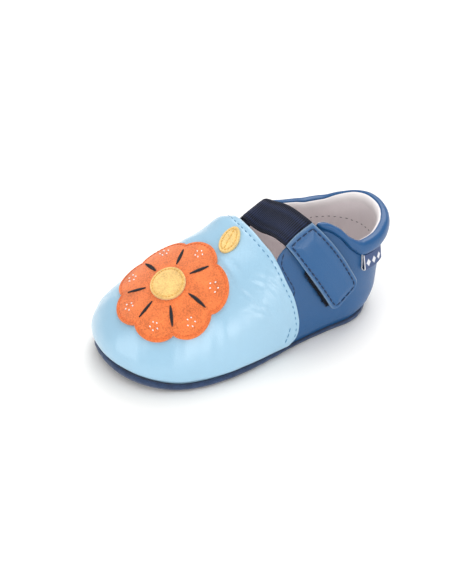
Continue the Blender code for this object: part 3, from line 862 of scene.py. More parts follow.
@dataclass(frozen=True)
class Finishes:
    """Every finish of the shoe."""

    vamp: Leather = Leather(
        "sky_leather",
        (0.295, 0.50, 0.655),
        (0.42, 0.62, 0.76),
        roughness=0.36,
        coat=0.95,
        coat_roughness=0.26,
    )
    quarter: Leather = Leather("blue_leather", (0.014, 0.084, 0.224), (0.08, 0.18, 0.34), coat=0.2)
    collar: Leather = Leather(
        "roll_leather", (0.009, 0.080, 0.225), (0.08, 0.18, 0.34), (0.86, 0.81, 0.81), coat=0.3
    )
    tab: Leather = Leather("tab_hide", (0.010, 0.086, 0.236), (0.22, 0.33, 0.46), roughness=0.36, coat=0.3)
    lining: Leather = Leather(
        "pale_lining", (0.85, 0.785, 0.79), (0.80, 0.73, 0.72), roughness=0.62, coat=0.0, cells=2200.0
    )
    sock: Leather = Leather("sock_lining", (0.74, 0.68, 0.68), (0.6, 0.55, 0.53), roughness=0.72, coat=0.0)
    sole: Suede = Suede("navy_suede", (0.026, 0.050, 0.115), spread=0.4)
    petal: Suede = Suede("orange_suede", (0.74, 0.175, 0.045), fibres=1500.0, spread=0.34)
    centre: Suede = Suede("yellow_suede", (0.78, 0.50, 0.17), fibres=1500.0, spread=0.26)
    leaf: Suede = Suede("straw_suede", (0.78, 0.54, 0.20), fibres=1500.0, spread=0.26)
    hooks: Suede = Suede("hook_pile", (0.012, 0.014, 0.022), fibres=1500.0, depth=0.0005, sheen=0.05)
    elastic: Webbing = Webbing(
        "navy_elastic",
        (0.010, 0.016, 0.044),
        (0.006, 0.009, 0.024),
        ribs=44.0,
        threads=12.0,
        depth=0.0006,
        contrast=1.0,
        sheen=0.0,
    )
    tag: Webbing = Webbing("blue_tape", (0.040, 0.075, 0.19), (0.72, 0.73, 0.78), ribs=26.0, threads=22.0)
    blue_thread: Webbing = thread("blue_thread", (0.09, 0.24, 0.40))
    navy_thread: Webbing = thread("navy_thread", (0.008, 0.026, 0.075))
    grey_thread: Webbing = thread("grey_thread", (0.14, 0.13, 0.14))
    orange_thread: Webbing = thread("orange_thread", (0.74, 0.17, 0.04))
    gold_thread: Webbing = thread("gold_thread", (0.70, 0.42, 0.10))
    black_thread: Webbing = thread("black_thread", (0.012, 0.012, 0.016), 0.3)
    white_thread: Webbing = thread("white_thread", (0.84, 0.82, 0.80), 0.12)


# Meshes


@dataclass(frozen=True)
class Stitch:
    """Measures of a row of stitches: length and gap along it, half thickness of the thread, and its rise."""

    length: float
    gap: float
    radius: float
    rise: float


class Piece:
    """A mesh gathered from grids, put into the scene as one object that rides on the shoe."""

    RINGS: Array = np.array([0.0, 0.1, 0.3, 0.5, 0.7, 0.9, 1.0])
    SIDES: int = 6
    BOW_POWER: float = 0.6
    FULLNESS: float = 1.3
    TIP: float = 0.1
    CUT: dict[str, Array] = {"edge": np.ones((1, 1))}

    def __init__(self, name: str, last: Last) -> None:
        """Start an empty piece."""
        self.name = name
        self.last = last
        self.points: list[Array] = []
        self.quads: list[Array] = []
        self.charts: list[Array] = []
        self.marks: dict[str, list[Array]] = {"edge": [], "lined": []}
        self.count = 0

    def keep(self, points: Array, quads: Array, chart: Array, marks: dict[str, Array]) -> None:
        """Add points, faces, map and point attributes to the mesh."""
        self.points.append(points.reshape(-1, 3))
        self.quads.append(quads.reshape(-1, 4) + self.count)
        self.charts.append(chart.reshape(-1, 2))
        for key, rows in self.marks.items():
            rows.append(np.broadcast_to(marks.get(key, 0.0), points.shape[:-1]).ravel())
        self.count += points.size // 3

    def grid(
        self, points: Array, closed: bool = False, flip: bool = False, marks: dict[str, Array] | None = None
    ) -> "Piece":
        """Add a grid whose faces look along row direction x column direction.

        Args:
            points: rows x columns x 3, in shoe millimetres.
            closed: whether the last column runs on into the first.
            flip: turn the faces round.
            marks: point attributes by name, each rows x columns.

        Returns:
            This piece.
        """
        marks = dict(marks or {})
        if closed:
            marks = {key: np.broadcast_to(value, points.shape[:2]) for key, value in marks.items()}
            marks = {key: np.concatenate([value, value[:, :1]], axis=1) for key, value in marks.items()}
            points = np.concatenate([points, points[:, :1]], axis=1)
        rows, columns = points.shape[:2]
        chart = np.stack(np.meshgrid(np.linspace(0, 1, columns), np.linspace(0, 1, rows)), -1)
        index = np.arange(rows * columns).reshape(rows, columns)
        quads = np.stack([index[:-1, :-1], index[:-1, 1:], index[1:, 1:], index[1:, :-1]], -1)
        self.keep(points, quads[..., ::-1] if flip else quads, chart, marks)
        return self

    def slab(self, top: Array, low: Array, edge: Array, closed: bool = False) -> "Piece":
        """Add a closed sheet: a top grid, an underside and walls round its open sides.

        Args:
            top: outer face, rows x columns x 3.
            low: underside, of the same shape.
            edge: edge attribute of the top.
            closed: whether the columns run round, with the last row a pole.

        Returns:
            This piece.
        """
        self.grid(top, closed, marks={"edge": edge}).grid(low, closed, flip=True)
        self.grid(np.stack([low[0], top[0]]), closed, marks=self.CUT)
        return self if closed else self.walls(top, low)

    def walls(self, top: Array, low: Array) -> "Piece":
        """Add the cut walls between two grids at their last row, first column and last column."""
        pairs = ((top[-1], low[-1]), (top[:, 0], low[:, 0]), (low[:, -1], top[:, -1]))
        for pair in pairs:
            self.grid(np.stack(pair), marks=self.CUT)
        return self

    def threads(self, starts: Array, ends: Array, normals: Array, radius: float, rise: float) -> "Piece":
        """Add short raised threads: tubes from start to end, bowed outward and thin at both ends.

        Args:
            starts: first points, count x 3.
            ends: last points.
            normals: outward directions.
            radius: half thickness of the thread.
            rise: height of its middle above the leather.

        Returns:
            This piece.
        """
        share = self.RINGS
        bow = rise * np.sin(np.pi * share) ** self.BOW_POWER
        taper = np.sin(np.pi * (self.TIP + (1 - 2 * self.TIP) * share))
        width = radius * np.clip(self.FULLNESS * taper, 0, 1)
        angle = np.linspace(0, 2 * np.pi, self.SIDES, endpoint=False)
        run = ends - starts
        across = np.cross(normals, unit(run))
        centre = starts[:, None] + run[:, None] * share[:, None] + normals[:, None] * bow[:, None]
        ring = normals[:, None] * np.cos(angle)[:, None] + across[:, None] * np.sin(angle)[:, None]
        points = centre[:, :, None] + width[:, None, None] * ring[:, None]
        rows, sides = len(share), self.SIDES
        index = np.arange(rows * sides).reshape(rows, sides)
        ahead = np.roll(index, -1, axis=1)
        tube = np.stack([index[:-1], ahead[:-1], ahead[1:], index[1:]], -1).reshape(-1, 4)
        caps = np.array([[0, 3, 2, 1], [0, 5, 4, 3]])
        faces = np.concatenate([tube, caps, (caps + (rows - 1) * sides)[:, ::-1]])
        quads = faces + (np.arange(len(starts)) * rows * sides)[:, None, None]
        chart = np.stack(np.meshgrid(angle / (2 * np.pi), share), -1)
        self.keep(points, quads, np.broadcast_to(chart, points.shape[:-1] + (2,)), {})
        return self

    def stitches(self, path: Array, normals: Array, stitch: Stitch) -> "Piece":
        """Add a running row of stitches along a path.

        Args:
            path: points along the row, count x 3.
            normals: outward directions at those points.
            stitch: measures of the row.

        Returns:
            This piece.
        """
        far = walked(path)
        count = max(1, int((far[-1] + stitch.gap) / (stitch.length + stitch.gap)))
        pitch = (far[-1] + stitch.gap) / count
        begin = np.arange(count) * pitch
        finish = begin + pitch - stitch.gap

        def read(rows: Array, place: Array) -> Array:
            """Rows read at distances along the path."""
            return np.stack([np.interp(place, far, column) for column in rows.T], -1)

        middle = unit(read(normals, (begin + finish) / 2))
        return self.threads(read(path, begin), read(path, finish), middle, stitch.radius, stitch.rise)

    def place(self, finish: Finish, slot: str, nodes: Sequence[str] = ()) -> bpy.types.Object:
        """Put the mesh into the scene, with touching points joined.

        Args:
            finish: finish of the piece.
            slot: material slot of the record; not used.
            nodes: solids that the piece stands for.

        Returns:
            The object, riding on the shoe.
        """
        points = self.last.world(np.concatenate(self.points))
        quads = np.concatenate(self.quads)
        mesh = bpy.data.meshes.new(self.name)
        mesh.vertices.add(len(points))
        mesh.vertices.foreach_set("co", points.astype(np.float32).ravel())
        mesh.loops.add(quads.size)
        mesh.loops.foreach_set("vertex_index", quads.astype(np.int32).ravel())
        mesh.polygons.add(len(quads))
        mesh.polygons.foreach_set("loop_start", np.arange(0, quads.size, 4, dtype=np.int32))
        mesh.polygons.foreach_set("use_smooth", np.ones(len(quads), bool))
        chart = mesh.uv_layers.new(name="map")
        chart.data.foreach_set("uv", np.concatenate(self.charts)[quads.ravel()].astype(np.float32).ravel())
        for key, rows in self.marks.items():
            attribute = mesh.attributes.new(key, "FLOAT", "POINT")
            attribute.data.foreach_set("value", np.concatenate(rows).astype(np.float32))
        mesh.update(calc_edges=True)
        work = bmesh.new()
        work.from_mesh(mesh)
        bmesh.ops.remove_doubles(work, verts=work.verts, dist=1e-7)
        bmesh.ops.dissolve_degenerate(work, edges=work.edges, dist=1e-8)
        work.to_mesh(mesh)
        work.free()
        mesh.materials.append(finish.material())
        obj = bpy.data.objects.new(self.name, mesh)
        bpy.context.scene.collection.objects.link(obj)
        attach(obj, "root")
        if nodes:
            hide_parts(*nodes)
        LOG.info("%s: %d faces", self.name, len(mesh.polygons))
        return obj


# Sub-assemblies


@dataclass
class Sole:
    """Suede outsole turned up round its edge, and the pale sock inside it."""

    last: Last
    thickness: float = 1.3
    flat_inset: float = 2.8
    lip: float = 2.0
    arch_lift: float = 0.4
    arch_start: float = 36.0
    arch_end: float = 68.0
    toe_lift: float = 3.0
    toe_lift_start: float = 98.0
    heel_lift: float = 1.2
    heel_lift_end: float = 9.0
    sock_inset: float = 3.6
    sock_thickness: float = 1.6
    sock_gap: float = 0.3
    sock_dish: float = 0.15
    sock_dish_rate: float = 3.0
    sock_turns: int = 9
    pucker_drop: float = 0.4
    columns: int = 420
    discs: int = 14
    edge_rows: int = 40
    # distance in from the rim, drop as a share of the edge's height
    edge: Rows = (
        (2.8, 1.0),
        (1.3, 0.97),
        (0.0, 0.84),
        (-0.8, 0.62),
        (-1.0, 0.42),
        (-0.8, 0.18),
        (-0.3, 0.03),
        (0.5, 0.0),
        (2.0, 0.05),
    )
    # rate round the shoe, no second rate, phase, height of the puckers of the turned edge
    puckers: Rows = ((148.0, 0.0, 0.3, 0.12), (97.0, 0.0, 1.7, 0.10), (211.0, 0.0, 0.9, 0.06))

    def underside(self, station: Array) -> Array:
        """Height of the underside: level at heel and forefoot, lifted at arch, toe and heel back."""
        toe = np.clip((station - self.toe_lift_start) / (self.last.length - self.toe_lift_start), 0, 1)
        heel = np.clip(1 - station / self.heel_lift_end, 0, 1)
        arch = np.clip((station - self.arch_start) / (self.arch_end - self.arch_start), 0, 1)
        return self.toe_lift * toe**2 + self.heel_lift * heel**2 + self.arch_lift * np.sin(np.pi * arch) ** 2

    def ring(self, around: Array, inset: Array, share: float, drop: float, rise: float) -> Array:
        """Ring of points at a share of the way from the spine to an inset rim.

        Args:
            around: positions round the outline.
            inset: distance in from the rim.
            share: share of the way out from the spine.
            drop: share of the way down from the rim to the underside.
            rise: height added.

        Returns:
            One point for each position.
        """
        foot = self.last.outline(around)
        spine, along, out, gone, _ = self.last.rays(*foot)
        reach = (gone - self.last.foot_tuck(along) - inset) * share
        station = spine + reach * along
        rim = self.last.rim_height(station)
        height = rim - drop * (rim - self.underside(station)) + rise
        return np.stack([reach * out + self.last.swing(station), station, height], -1)

    def build(self, finishes: Finishes) -> None:
        """Build and dress the outsole and the sock."""
        around = self.last.spaced(-1.0, 1.0, self.columns + 1)[:-1]
        discs = np.linspace(0, 1, self.discs)
        pucker = ripple(around, 0.0, self.puckers)
        bulge = self.last.sole_bulge(self.last.outline(around)[0])
        rings = [self.ring(around, self.flat_inset, share, 1.0, 0.0) for share in discs[:-1]]
        for inset, drop in resampled(self.edge, self.edge_rows).T:
            weight = np.clip(1 - np.abs(drop - self.pucker_drop) / self.pucker_drop, 0, 1)
            weight = weight * (inset < self.lip / 2)
            reach = np.where(inset < 0, inset * bulge, inset) - weight * pucker
            rings.append(self.ring(around, reach, 1.0, drop, 0.0))
        rings += [self.ring(around, self.flat_inset, share, 1.0, self.thickness) for share in discs[::-1]]
        outsole = Piece("turned_sole", self.last).grid(np.stack(rings), closed=True)
        outsole.place(finishes.sole, "sole_suede", ["outsole"])
        low, round_edge = self.thickness + self.sock_gap, self.sock_thickness / 2
        rings = [self.ring(around, self.sock_inset, share, 1.0, low) for share in discs[::3]]
        for angle in np.linspace(-np.pi / 2, np.pi / 2, self.sock_turns):
            reach = self.sock_inset + round_edge * (1 - np.cos(angle))
            rings.append(self.ring(around, reach, 1.0, 1.0, low + round_edge + round_edge * np.sin(angle)))
        for share in discs[-2::-1]:
            high = low + self.sock_thickness + self.sock_dish * np.cos(self.sock_dish_rate * share)
            rings.append(self.ring(around, self.sock_inset + round_edge, share, 1.0, high))
        sock = Piece("sock", self.last).grid(np.stack(rings), closed=True)
        sock.place(finishes.sock, "sock_leather", ["insole"])


@dataclass
class Upper:
    """Quarter leather outside and pale lining inside, open at the collar, the throat and underneath."""

    pattern: Pattern
    sole: Sole
    wall: float = 1.6
    skin: float = 0.8
    skin_least: float = 0.6
    front: float = 76.0
    free_start: float = 38.0
    free_run: float = 5.0
    under_roll: float = 2.2
    tuck_depth: float = 1.3
    tuck_run: float = 2.4
    lining_under_roll: float = 4.2
    lining_lap: float = 0.3
    lining_pad: float = 1.15
    lining_pad_drop: float = 15.0
    lining_puff: float = 0.6
    lining_puff_shift: float = 7.0
    fold_reach: float = 16.0
    foot_rise: float = 0.05
    foot_roll: float = 4.0
    foot_depth: float = 0.7
    puff_fade: float = 6.0
    lining_fade: float = 5.0
    edge_round: float = 0.7
    edge_wear: float = 0.3
    margin_gap: float = 0.14
    lining_stitch_height: float = 28.5
    lining_stitch_end: float = 40.0
    flap_stitch: Stitch = Stitch(2.2, 0.3, 0.2, 0.12)
    lining_stitch: Stitch = Stitch(1.1, 1.5, 0.16, 0.06)
    row_points: int = 120
    columns: int = 360
    # start, end and count of the rows up the wall, closer at foot and edge
    spacing: Rows = ((0.0, 0.12, 14), (0.12, 0.9, 44), (0.9, 1.0, 22))
    # station and height along the row of stitches behind the vamp's edge
    lateral_row: Rows = (
        (52.4, 45.2),
        (53.4, 43.6),
        (54.4, 41.6),
        (54.0, 39.2),
        (52.9, 36.4),
        (51.6, 33.2),
        (50.4, 30.4),
        (50.2, 28.4),
        (51.0, 26.2),
        (52.4, 24.6),
    )
    medial_row: Rows = (
        (52.4, 40.0),
        (53.5, 39.4),
        (54.3, 38.2),
        (53.6, 36.2),
        (51.6, 32.6),
        (50.3, 29.6),
        (50.2, 27.6),
        (51.2, 25.2),
    )
    # distance in from the rim, drop as a share of the edge's height, rise, down the lining's turned-in foot
    margin: Rows = (
        (4.6, 1.0, 1.45),
        (3.4, 1.0, 1.5),
        (2.95, 1.0, 1.75),
        (2.65, 0.6, 0.7),
        (2.3, 0.2, 0.3),
        (1.9, 0.0, 0.2),
    )
    # rates along and up, phase, height of the soft unevenness of the leather
    waves: Rows = ((0.21, 0.10, 0.4, 0.10), (-0.13, 0.27, 1.9, 0.08), (0.37, -0.19, 2.6, 0.05))
    # rates round the shoe and up, phase, height of the small upright folds of the lining
    folds: Rows = (
        (1.45, 0.05, 0.2, 0.13),
        (0.93, -0.08, 1.1, 0.14),
        (2.6, 0.1, 2.2, 0.08),
        (0.31, 0.04, 0.5, 0.12),
    )

    def wall_grid(self, around: Array, shift: float, under_roll: float, closed: bool) -> tuple[Array, ...]:
        """Outer face of the wall from the rim to its top edge.

        Args:
            around: positions round the outline.
            shift: how far the throat edge lies ahead of the vamp's edge.
            under_roll: how far the edge runs up behind the padded roll.
            closed: whether the columns run all the way round.

        Returns:
            Points, normals, distance up from the rim, distance left to the edge, and for each column how
            free its edge is of the collar.
        """
        last = self.pattern.last
        foot = last.outline(around)
        edge = self.pattern.upper_line(around, shift, under_roll)
        base = last.lift(*last.strands(foot, edge, graded(self.spacing), self.foot_rise))
        up = walked(base)
        free = ease((foot[0] - self.free_start) / self.free_run)
        return base, last.facing(base, closed), up, up[-1] - up, free

    def build(self, finishes: Finishes) -> None:
        """Build and dress the quarter, the lining and their stitches."""
        last = self.pattern.last
        start = last.side_around(self.front)
        around = last.spaced(start, 2 - start, self.columns)
        base, normal, up, left, free = self.wall_grid(around, self.pattern.lap, self.under_roll, False)
        puff = ripple(base[..., 1], base[..., 2], self.waves)
        puff = puff * ease(left / self.puff_fade) * ease(up / self.puff_fade)
        sunk = self.foot_depth * ease(1 - up / self.foot_roll)
        round_edge = self.edge_round * (1 - rounded(left, self.edge_round))
        tucked = self.tuck_depth * ease(1 - left / self.tuck_run)
        offset = puff - sunk - free * round_edge - (1 - free) * tucked
        top = base + offset[..., None] * normal
        quarter = Piece("quarter", last).grid(top, marks={"edge": free * np.exp(-left / self.edge_wear)})
        wall = np.stack([top[-1], base[-1] - self.skin * normal[-1] * (self.skin_least + free)[:, None]])
        quarter.grid(wall, marks={"edge": np.broadcast_to(free, (2, len(free)))})
        quarter.place(finishes.quarter, "quarter_leather", ["upper"])
        rows = Piece("flap_stitching", last)
        for side, table in ((Side.LATERAL, self.lateral_row), (Side.MEDIAL, self.medial_row)):
            path = last.wall_row(table, side, self.row_points)
            rows.stitches(*draped(path, top, normal), self.flap_stitch)
        rows.place(finishes.navy_thread, "quarter_leather")
        self.build_lining(finishes)

    def build_lining(self, finishes: Finishes) -> None:
        """Build and dress the lining and the row of stitches below the padded roll."""
        last = self.pattern.last
        around = last.spaced(-1.0, 1.0, self.columns + 1)[:-1]
        base, normal, _, left, free = self.wall_grid(around, self.lining_lap, self.lining_under_roll, True)
        station, height = base[..., 1], base[..., 2]
        puff = self.lining_puff * ripple(station, height + self.lining_puff_shift, self.waves)
        puff = puff * ease(left / self.lining_fade)
        folds = ripple(walked(base[0]), height, self.folds) * ease((left - 1) / self.lining_fade)
        folds = folds * np.exp(-left / self.fold_reach) * (1 - free)
        pad = self.lining_pad * ease(1 - left / self.lining_pad_drop) * (1 - free)
        turned = (self.wall - self.skin) * free * ease(1 - left / self.edge_round)
        swell = swelled(station, base[..., 0], self.pattern.swells)
        offset = turned + puff + folds + swell - pad - self.wall
        inner = base + offset[..., None] * normal
        turned_in = [self.sole.ring(around, inset, 1.0, drop, rise) for inset, drop, rise in self.margin]
        turned_in = np.stack(turned_in)
        floor = self.sole.underside(turned_in[..., 1]) + self.sole.thickness + self.margin_gap
        turned_in[..., 2] = np.maximum(turned_in[..., 2], floor)
        lining = Piece("lining", last).grid(np.concatenate([turned_in, inner]), closed=True, flip=True)
        lining.place(finishes.lining, "quarter_leather", ["upper"])
        end = last.side_around(self.lining_stitch_end)
        ring = np.concatenate([np.flatnonzero(around > end), np.flatnonzero(around < -end)])
        level = np.full(len(ring), self.lining_stitch_height)
        path, facing = (read_at(grid[:, ring], height[:, ring], level) for grid in (inner, normal))
        rows = Piece("lining_stitching", last).stitches(path, -facing, self.lining_stitch)
        rows.place(finishes.grey_thread, "quarter_leather")


@dataclass
class Vamp:
    """Light leather lapped over toe and instep: rolled into the sole, cut and stitched at its rear edge."""

    pattern: Pattern
    gap: float = 0.4
    thickness: float = 1.1
    cut_depth: float = 0.9
    foot_rise: float = 0.05
    foot_roll: float = 4.5
    foot_depth: float = 2.1
    foot_power: float = 1.5
    foot_fade: float = 5.0
    edge_fade: float = 4.0
    edge_round: float = 0.55
    edge_wear: float = 0.25
    groove_depth: float = 0.14
    groove_half: float = 0.55
    groove_end: float = 2.0
    stitch_inset: float = 2.4
    stitch_stop: float = 11.0
    edge_stitch: Stitch = Stitch(1.4, 1.5, 0.19, 0.1)
    tack_stitch: Stitch = Stitch(1.4, 0.6, 0.19, 0.1)
    tack_points: int = 40
    columns: int = 380
    # start, end and count of the rows up the wall, closer at foot and edge
    spacing: Rows = ((0.0, 0.06, 12), (0.06, 0.955, 80), (0.955, 1.0, 22))
    # station and height along the short back-tack at each lower corner
    tack: Rows = ((54.6, 13.8), (55.9, 10.9), (57.6, 8.0))
    # rates along and across, phase, height of the soft unevenness of the leather
    waves: Rows = (
        (0.19, 0.12, 0.7, 0.16),
        (-0.11, 0.23, 2.1, 0.13),
        (0.33, -0.21, 4.0, 0.09),
        (0.47, 0.38, 1.1, 0.06),
        (0.66, 0.52, 0.4, 0.045),
        (-0.74, 0.43, 2.2, 0.04),
        (1.05, -0.78, 1.3, 0.02),
    )
    # middle station, middle across, heading, half length, half width, depth
    creases: Rows = (
        (72.7, 8.0, 89.0, 2.5, 0.7, 0.15),
        (71.8, 22.8, 144.0, 4.5, 0.36, 0.13),
        (65.4, 21.8, 156.0, 6.1, 0.36, 0.14),
        (62.0, 21.2, 155.0, 6.0, 0.34, 0.11),
        (64.8, 25.4, 171.0, 4.9, 0.32, 0.12),
        (68.8, 25.8, 173.0, 6.7, 0.34, 0.13),
        (74.4, 20.4, 134.0, 3.7, 0.42, 0.12),
        (59.6, 20.1, 148.0, 3.7, 0.36, 0.10),
        (76.8, 12.8, -83.0, 5.4, 0.9, 0.30),
        (73.4, 11.5, -74.0, 5.4, 0.9, 0.26),
        (114.0, -14.0, 70.0, 7.0, 1.4, 0.14),
    )

    def build(self, finishes: Finishes) -> None:
        """Build and dress the vamp and its stitches."""
        last = self.pattern.last
        corner = last.side_around(self.pattern.vamp_edge[-1][0])
        around = last.spaced(-corner, corner, self.columns)
        edge = self.pattern.vamp_line(around)
        base = last.lift(*last.strands(last.outline(around), edge, graded(self.spacing), self.foot_rise))
        normal = outward(base)
        up = walked(base)
        left = up[-1] - up
        side = walked(np.swapaxes(base, 0, 1)).T
        end = np.minimum(side, side[:, -1:] - side)
        inward = np.minimum(left, end)
        station, across = base[..., 1], base[..., 0]
        puff = ripple(station, across, self.waves) + creased(station, across, self.creases)
        puff = puff * ease(up / self.foot_fade) * ease(left / self.edge_fade)
        swell = swelled(station, across, self.pattern.swells)
        groove = self.groove_depth * bell(left, self.stitch_inset, self.groove_half)
        groove = groove * ease((end - self.groove_end) / self.groove_end)
        round_edge = self.edge_round * (1 - rounded(inward, self.edge_round))
        sunk = self.foot_depth * ease(1 - up / self.foot_roll) ** self.foot_power
        offset = self.gap + self.thickness + puff + swell - groove - round_edge - sunk
        top = base + offset[..., None] * normal
        low = base + (swell - self.cut_depth)[..., None] * normal
        vamp = Piece("vamp_upper", last).grid(top, marks={"edge": np.exp(-inward / self.edge_wear)})
        vamp.walls(top, low).place(finishes.vamp, "vamp_leather", ["vamp"])
        here = up[-1] > self.stitch_stop
        reach = up[-1, here] - self.stitch_inset
        path, facing = (read_at(grid[:, here], up[:, here], reach) for grid in (top, normal))
        rows = Piece("vamp_stitching", last).stitches(path, facing, self.edge_stitch)
        for side in Side:
            path = last.wall_row(self.tack, side, self.tack_points)
            rows.stitches(*draped(path, top, normal), self.tack_stitch)
        rows.place(finishes.blue_thread, "vamp_leather")


@dataclass
class Collar:
    """Padded roll round the ankle: quarter leather outside and over the top, lining leather inside."""

    pattern: Pattern
    thickness: float = 5.8
    tip_thickness: float = 2.6
    wall: float = 1.6
    shift: float = 0.1
    front: float = 37.5
    roundness: float = 2.4
    end_round: float = 3.0
    seam_depth: float = 0.45
    seam_half: float = 5.0
    lining_end: float = 268.0
    start_blend: float = 3.0
    end_blend: float = 6.0
    steps: int = 260
    sides: int = 96
    fill: float = 0.7
    # share of the way along the roll, angle from outward where the lining leather starts
    lining_start: Rows = (
        (0.0, 120.0),
        (0.35, 116.0),
        (0.5, 102.0),
        (0.62, 100.0),
        (0.75, 122.0),
        (1.0, 132.0),
    )
    # rates along the roll and round it, phase, height of the soft lumps of the padding
    waves: Rows = ((0.22, 1.0, 0.3, 0.07), (0.41, -1.0, 1.4, 0.04), (0.83, 2.0, 0.2, 0.02))

    def build(self, finishes: Finishes) -> None:
        """Build and dress the roll: a superellipse section carried along the topline."""
        last = self.pattern.last
        start = last.side_around(self.front)
        path = last.spaced(start, 2 - start, self.steps)
        side = np.where(path >= 0, 1, -1)
        foot = last.outline(path)
        station = foot[0]
        top = self.pattern.collar_top(station, side)
        roll = self.pattern.roll_height(station) - self.pattern.seam_gap
        least, most = self.pattern.collar[-1][3], self.pattern.collar[0][3]
        full = np.clip((roll + self.pattern.seam_gap - least) / (most - least), 0, 1)
        thick = self.tip_thickness + (self.thickness - self.tip_thickness) * full
        middle = top - roll / 2
        share = last.wall_share(station, middle)
        spine, along, out, gone, _ = last.rays(*foot)
        centre = last.lift(spine + share * gone * along, share * gone * out)
        shift = self.shift * full - self.wall / 2 * (1 - full)
        far = walked(centre)
        close = rounded(np.minimum(far, far[-1] - far), self.end_round)[:, None]
        angle = np.linspace(0, 2 * np.pi, self.sides, endpoint=False)
        wide, tall = superellipse(angle, 2 / self.roundness, 2 / self.roundness)
        degrees = np.degrees(angle)
        meets = table_read(far / far[-1], self.lining_start, 1)[:, None]
        seam = self.seam_depth * bell(degrees, meets, self.seam_half)
        lump = ripple(far[:, None], angle, self.waves) - seam
        reach = shift[:, None] + close * (thick[:, None] / 2 * wide + lump * np.cos(angle))
        height = middle[:, None] + close * (roll[:, None] / 2 * tall + lump * np.sin(angle))
        level = [centre[:, None, axis] + reach * way[:, None] for axis, way in enumerate((out, along))]
        inside = ease((degrees - meets) / self.start_blend)
        inside = inside * ease((self.lining_end - degrees) / self.end_blend)
        piece = Piece("collar_roll", last)
        piece.grid(np.stack([*level, height], -1), closed=True, flip=True, marks={"lined": inside})
        piece.place(finishes.collar, "collar_leather", ["collar"])


